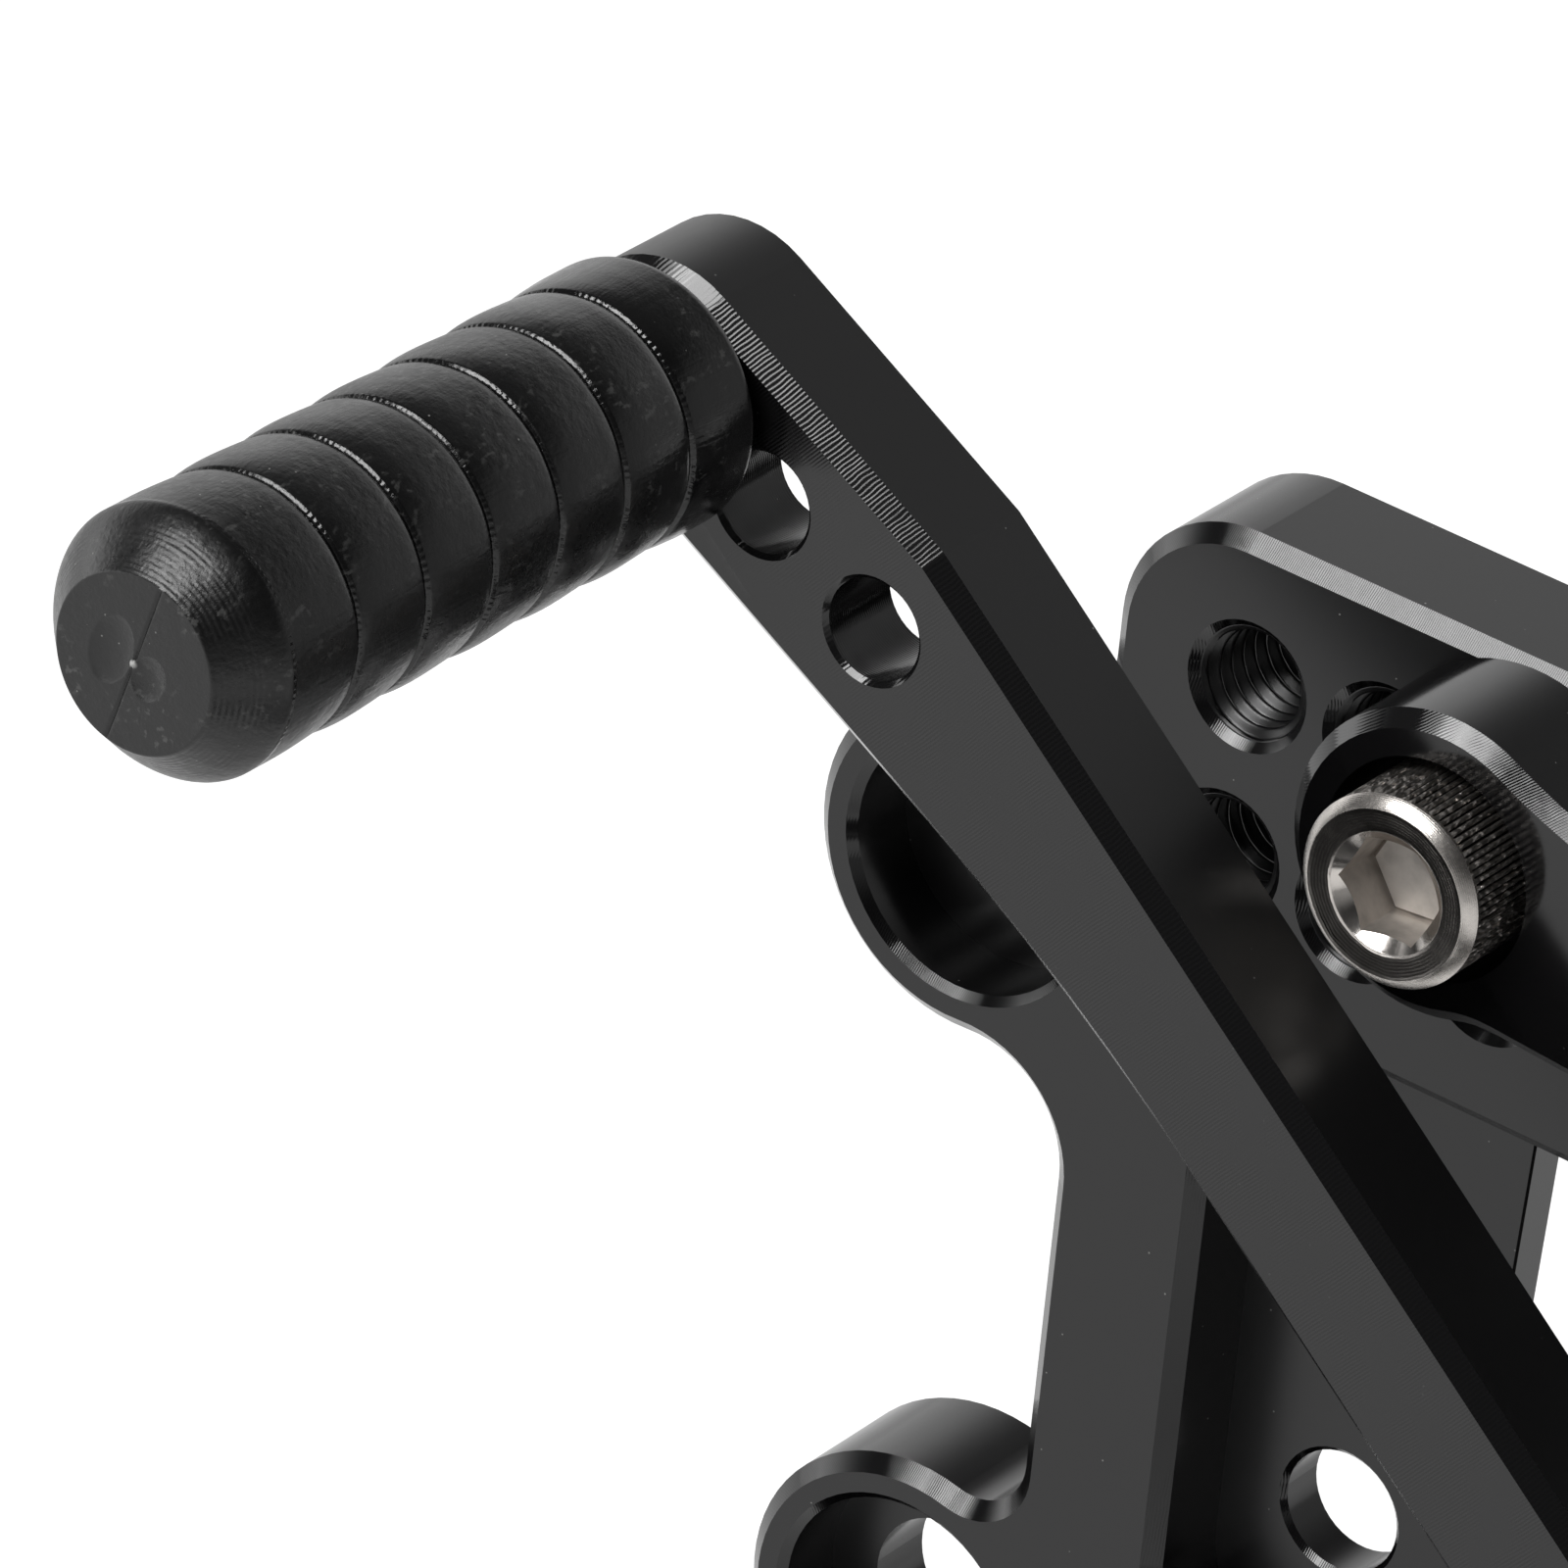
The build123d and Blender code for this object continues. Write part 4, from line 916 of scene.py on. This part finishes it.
class REARSET_OT_pivot_stack(bpy.types.Operator):
    """Finishes of the bearing, its clip and the bolt stack"""

    bl_idname = "rearset.pivot_stack"
    bl_label = "Pivot Stack"

    def execute(self, context):
        finish = context.scene.rear_set_finish
        centre = (PIVOT_X, 0, PIVOT_Z)
        dress(
            steel("pivot_steel", tuple(finish.stainless), 0.2, centre),
            "pivot_bolt", "lock_washer", "pivot_sleeve", "peg_washer", "end_cap_screw")
        dress(
            steel("race_steel", tuple(finish.bearing), 0.14, centre, pitch=0.08 * MM),
            "bearing_inner_race", "bearing_outer_race", "bearing_balls", "bearing_shields")
        dress(steel("spring_steel", tuple(finish.spring), 0.3, centre), "bearing_clip", "bearing_cage")
        dress(steel("toe_screw_steel", tuple(finish.stainless), 0.2, (PEG_X, 0, PEG_Z)), "toe_peg_screw")
        return {"FINISHED"}


class REARSET_OT_foot_peg(bpy.types.Operator):
    """Finishes of the foot peg and its end cap"""

    bl_idname = "rearset.foot_peg"
    bl_label = "Foot Peg"

    def execute(self, context):
        dress(anodised("bar_black", gloss=0.24, tick_pitch=0.15 * MM, tick_depth=0.8e-6), "foot_peg")
        dress(moulded("cap_moulded"), "peg_end_cap")
        return {"FINISHED"}


# Stage

FLOOR_REACH = 1.2
FLOOR_SEEN, FLOOR_MIRRORED = 0.74, 0.5


def stage_floor(stage, finish):
    """Square pale floor under the object. Rays from the camera, mirrors and glass see it a little brighter
    by emission, so that it is white where it is lit and keeps the shadow."""
    level = CAD_BOX[0][2] - stage.floor_drop
    mesh = bpy.data.meshes.new("floor")
    corners = [(x * FLOOR_REACH, y * FLOOR_REACH, level) for x, y in ((-1, -1), (1, -1), (1, 1), (-1, 1))]
    mesh.from_pydata(corners, [], [(0, 1, 2, 3)])
    material, tree, shader = blank_material("floor_pale")[:3]
    shader.inputs["Base Color"].default_value = (*finish.floor, 1)
    shader.inputs["Roughness"].default_value = 1.0
    shader.inputs["Specular IOR Level"].default_value = 0.0
    shader.inputs["Emission Color"].default_value = (1, 1, 1, 1)
    rays = add(tree, "ShaderNodeLightPath").outputs
    mirrored = calc(tree, "MAXIMUM", rays["Is Glossy Ray"], rays["Is Transmission Ray"])
    seen = calc(tree, "MULTIPLY", rays["Is Camera Ray"], FLOOR_SEEN)
    strength = calc(tree, "MAXIMUM", seen, calc(tree, "MULTIPLY", mirrored, FLOOR_MIRRORED))
    tree.links.new(strength, shader.inputs["Emission Strength"])
    mesh.materials.append(material)
    floor = bpy.data.objects.new("floor", mesh)
    bpy.context.scene.collection.objects.link(floor)


def stage_world():
    """World that is a studio room: pale near the horizon and darker above. Behind the object the pale part
    reaches higher than in front of it, the low left is lighter and the right is darker."""
    world = bpy.data.worlds.new("studio")
    bpy.context.scene.world = world
    world.use_nodes = True
    tree = world.node_tree
    tree.nodes.clear()
    way = add(tree, "ShaderNodeTexCoord").outputs["Generated"]
    direction = add(tree, "ShaderNodeSeparateXYZ", {0: way}).outputs
    low = ramp(tree, direction["Z"], 0.1, 0.42, 1.0, 0.0)
    left = calc(tree, "MULTIPLY", ramp(tree, direction["X"], -0.75, -0.1, 1.3, 0.0), low)
    front = calc(tree, "ADD", ramp(tree, direction["Z"], 0.05, 0.42, 0.9, 0.1), left)
    back = ramp(tree, direction["Z"], 0.33, 0.70, 1.02, 0.10)
    behind = ramp(tree, direction["Y"], -0.1, 0.3)
    room = plus(tree, front, behind, calc(tree, "SUBTRACT", back, front))
    room = calc(tree, "MULTIPLY", room, ramp(tree, direction["X"], 0.1, 0.55, 1.0, 0.36))
    light = add(tree, "ShaderNodeBackground", {"Color": (1, 1, 1, 1), "Strength": room})
    add(tree, "ShaderNodeOutputWorld", {"Surface": light.outputs[0]})


def stage_panel(stage, name, azimuth, width, radiance):
    """Soft panel above the object, turned towards it. Its power is radiance times pi times area."""
    light = bpy.data.lights.new(name, "AREA")
    light.shape = "RECTANGLE"
    light.size, light.size_y = width, stage.light_height
    light.energy = radiance * pi * width * stage.light_height
    level = cos(stage.light_elevation)
    aim = Vector((sin(azimuth) * level, -cos(azimuth) * level, sin(stage.light_elevation)))
    panel = bpy.data.objects.new(name, light)
    panel.location = aim * stage.light_distance
    panel.rotation_euler = aim.to_track_quat("Z", "Y").to_euler()
    panel.visible_camera = False
    bpy.context.scene.collection.objects.link(panel)


VIEW_BACK, VIEW_RIGHT = Vector((0.463, -0.736, 0.493)), Vector((0.801, 0.586, 0.122))


def stage_camera(stage):
    """Camera at the photograph's angle: its axes are the picture's right and up and the way back."""
    data = bpy.data.cameras.new("camera")
    data.sensor_width, data.lens = 36.0, stage.lens
    data.clip_start, data.clip_end = 0.05, 20.0
    back = VIEW_BACK.normalized()
    right = (VIEW_RIGHT - back * VIEW_RIGHT.dot(back)).normalized()
    up = back.cross(right)
    turn = Matrix((right, up, back)).transposed().to_4x4()
    camera = bpy.data.objects.new("camera", data)
    camera.matrix_world = Matrix.Translation(stage.camera_place) @ turn
    bpy.context.scene.collection.objects.link(camera)
    bpy.context.scene.camera = camera


class REARSET_OT_stage(bpy.types.Operator):
    """Floor, world, light panels and camera"""

    bl_idname = "rearset.stage"
    bl_label = "Studio Stage"

    def execute(self, context):
        scene = context.scene
        scene.view_settings.view_transform = "Standard"
        stage = scene.rear_set_stage
        stage_floor(stage, scene.rear_set_finish)
        stage_world()
        stage_panel(stage, "key", stage.key_azimuth, stage.key_width, stage.key_radiance)
        stage_panel(stage, "side", stage.side_azimuth, stage.side_width, stage.side_radiance)
        stage_camera(stage)
        return {"FINISHED"}


class REARSET_PT_panel(bpy.types.Panel):
    """Lists the rear set's pieces, sizes, colours and stage"""

    bl_idname = "REARSET_PT_panel"
    bl_label = "Rear Set"
    bl_space_type = "VIEW_3D"
    bl_region_type = "UI"
    bl_category = "Rear Set"

    def draw(self, context):
        column = self.layout.column()
        for operator in OPERATORS:
            column.operator(operator.bl_idname)
        for group in ("rear_set_sizes", "rear_set_finish", "rear_set_stage"):
            values = getattr(context.scene, group)
            for key in values.__annotations__:
                column.prop(values, key)


OPERATORS = (
    REARSET_OT_plates, REARSET_OT_toe_peg, REARSET_OT_cap_screws, REARSET_OT_tapped_holes,
    REARSET_OT_pivot_stack, REARSET_OT_foot_peg, REARSET_OT_stage,
)
GROUPS = {
    "rear_set_sizes": RearSetSizes, "rear_set_finish": RearSetFinish, "rear_set_stage": RearSetStage,
}


def register():
    for kind in (*GROUPS.values(), *OPERATORS, REARSET_PT_panel):
        bpy.utils.register_class(kind)
    for name, kind in GROUPS.items():
        setattr(bpy.types.Scene, name, PointerProperty(type=kind))


def unregister():
    for name in GROUPS:
        delattr(bpy.types.Scene, name)
    for kind in reversed((*GROUPS.values(), *OPERATORS, REARSET_PT_panel)):
        bpy.utils.unregister_class(kind)


def main():
    register()
    make_groups()
    bpy.ops.rearset.plates()
    bpy.ops.rearset.toe_peg()
    bpy.ops.rearset.cap_screws()
    bpy.ops.rearset.tapped_holes()
    bpy.ops.rearset.pivot_stack()
    bpy.ops.rearset.foot_peg()
    bpy.ops.rearset.stage()


if __name__ == "__main__":
    main()
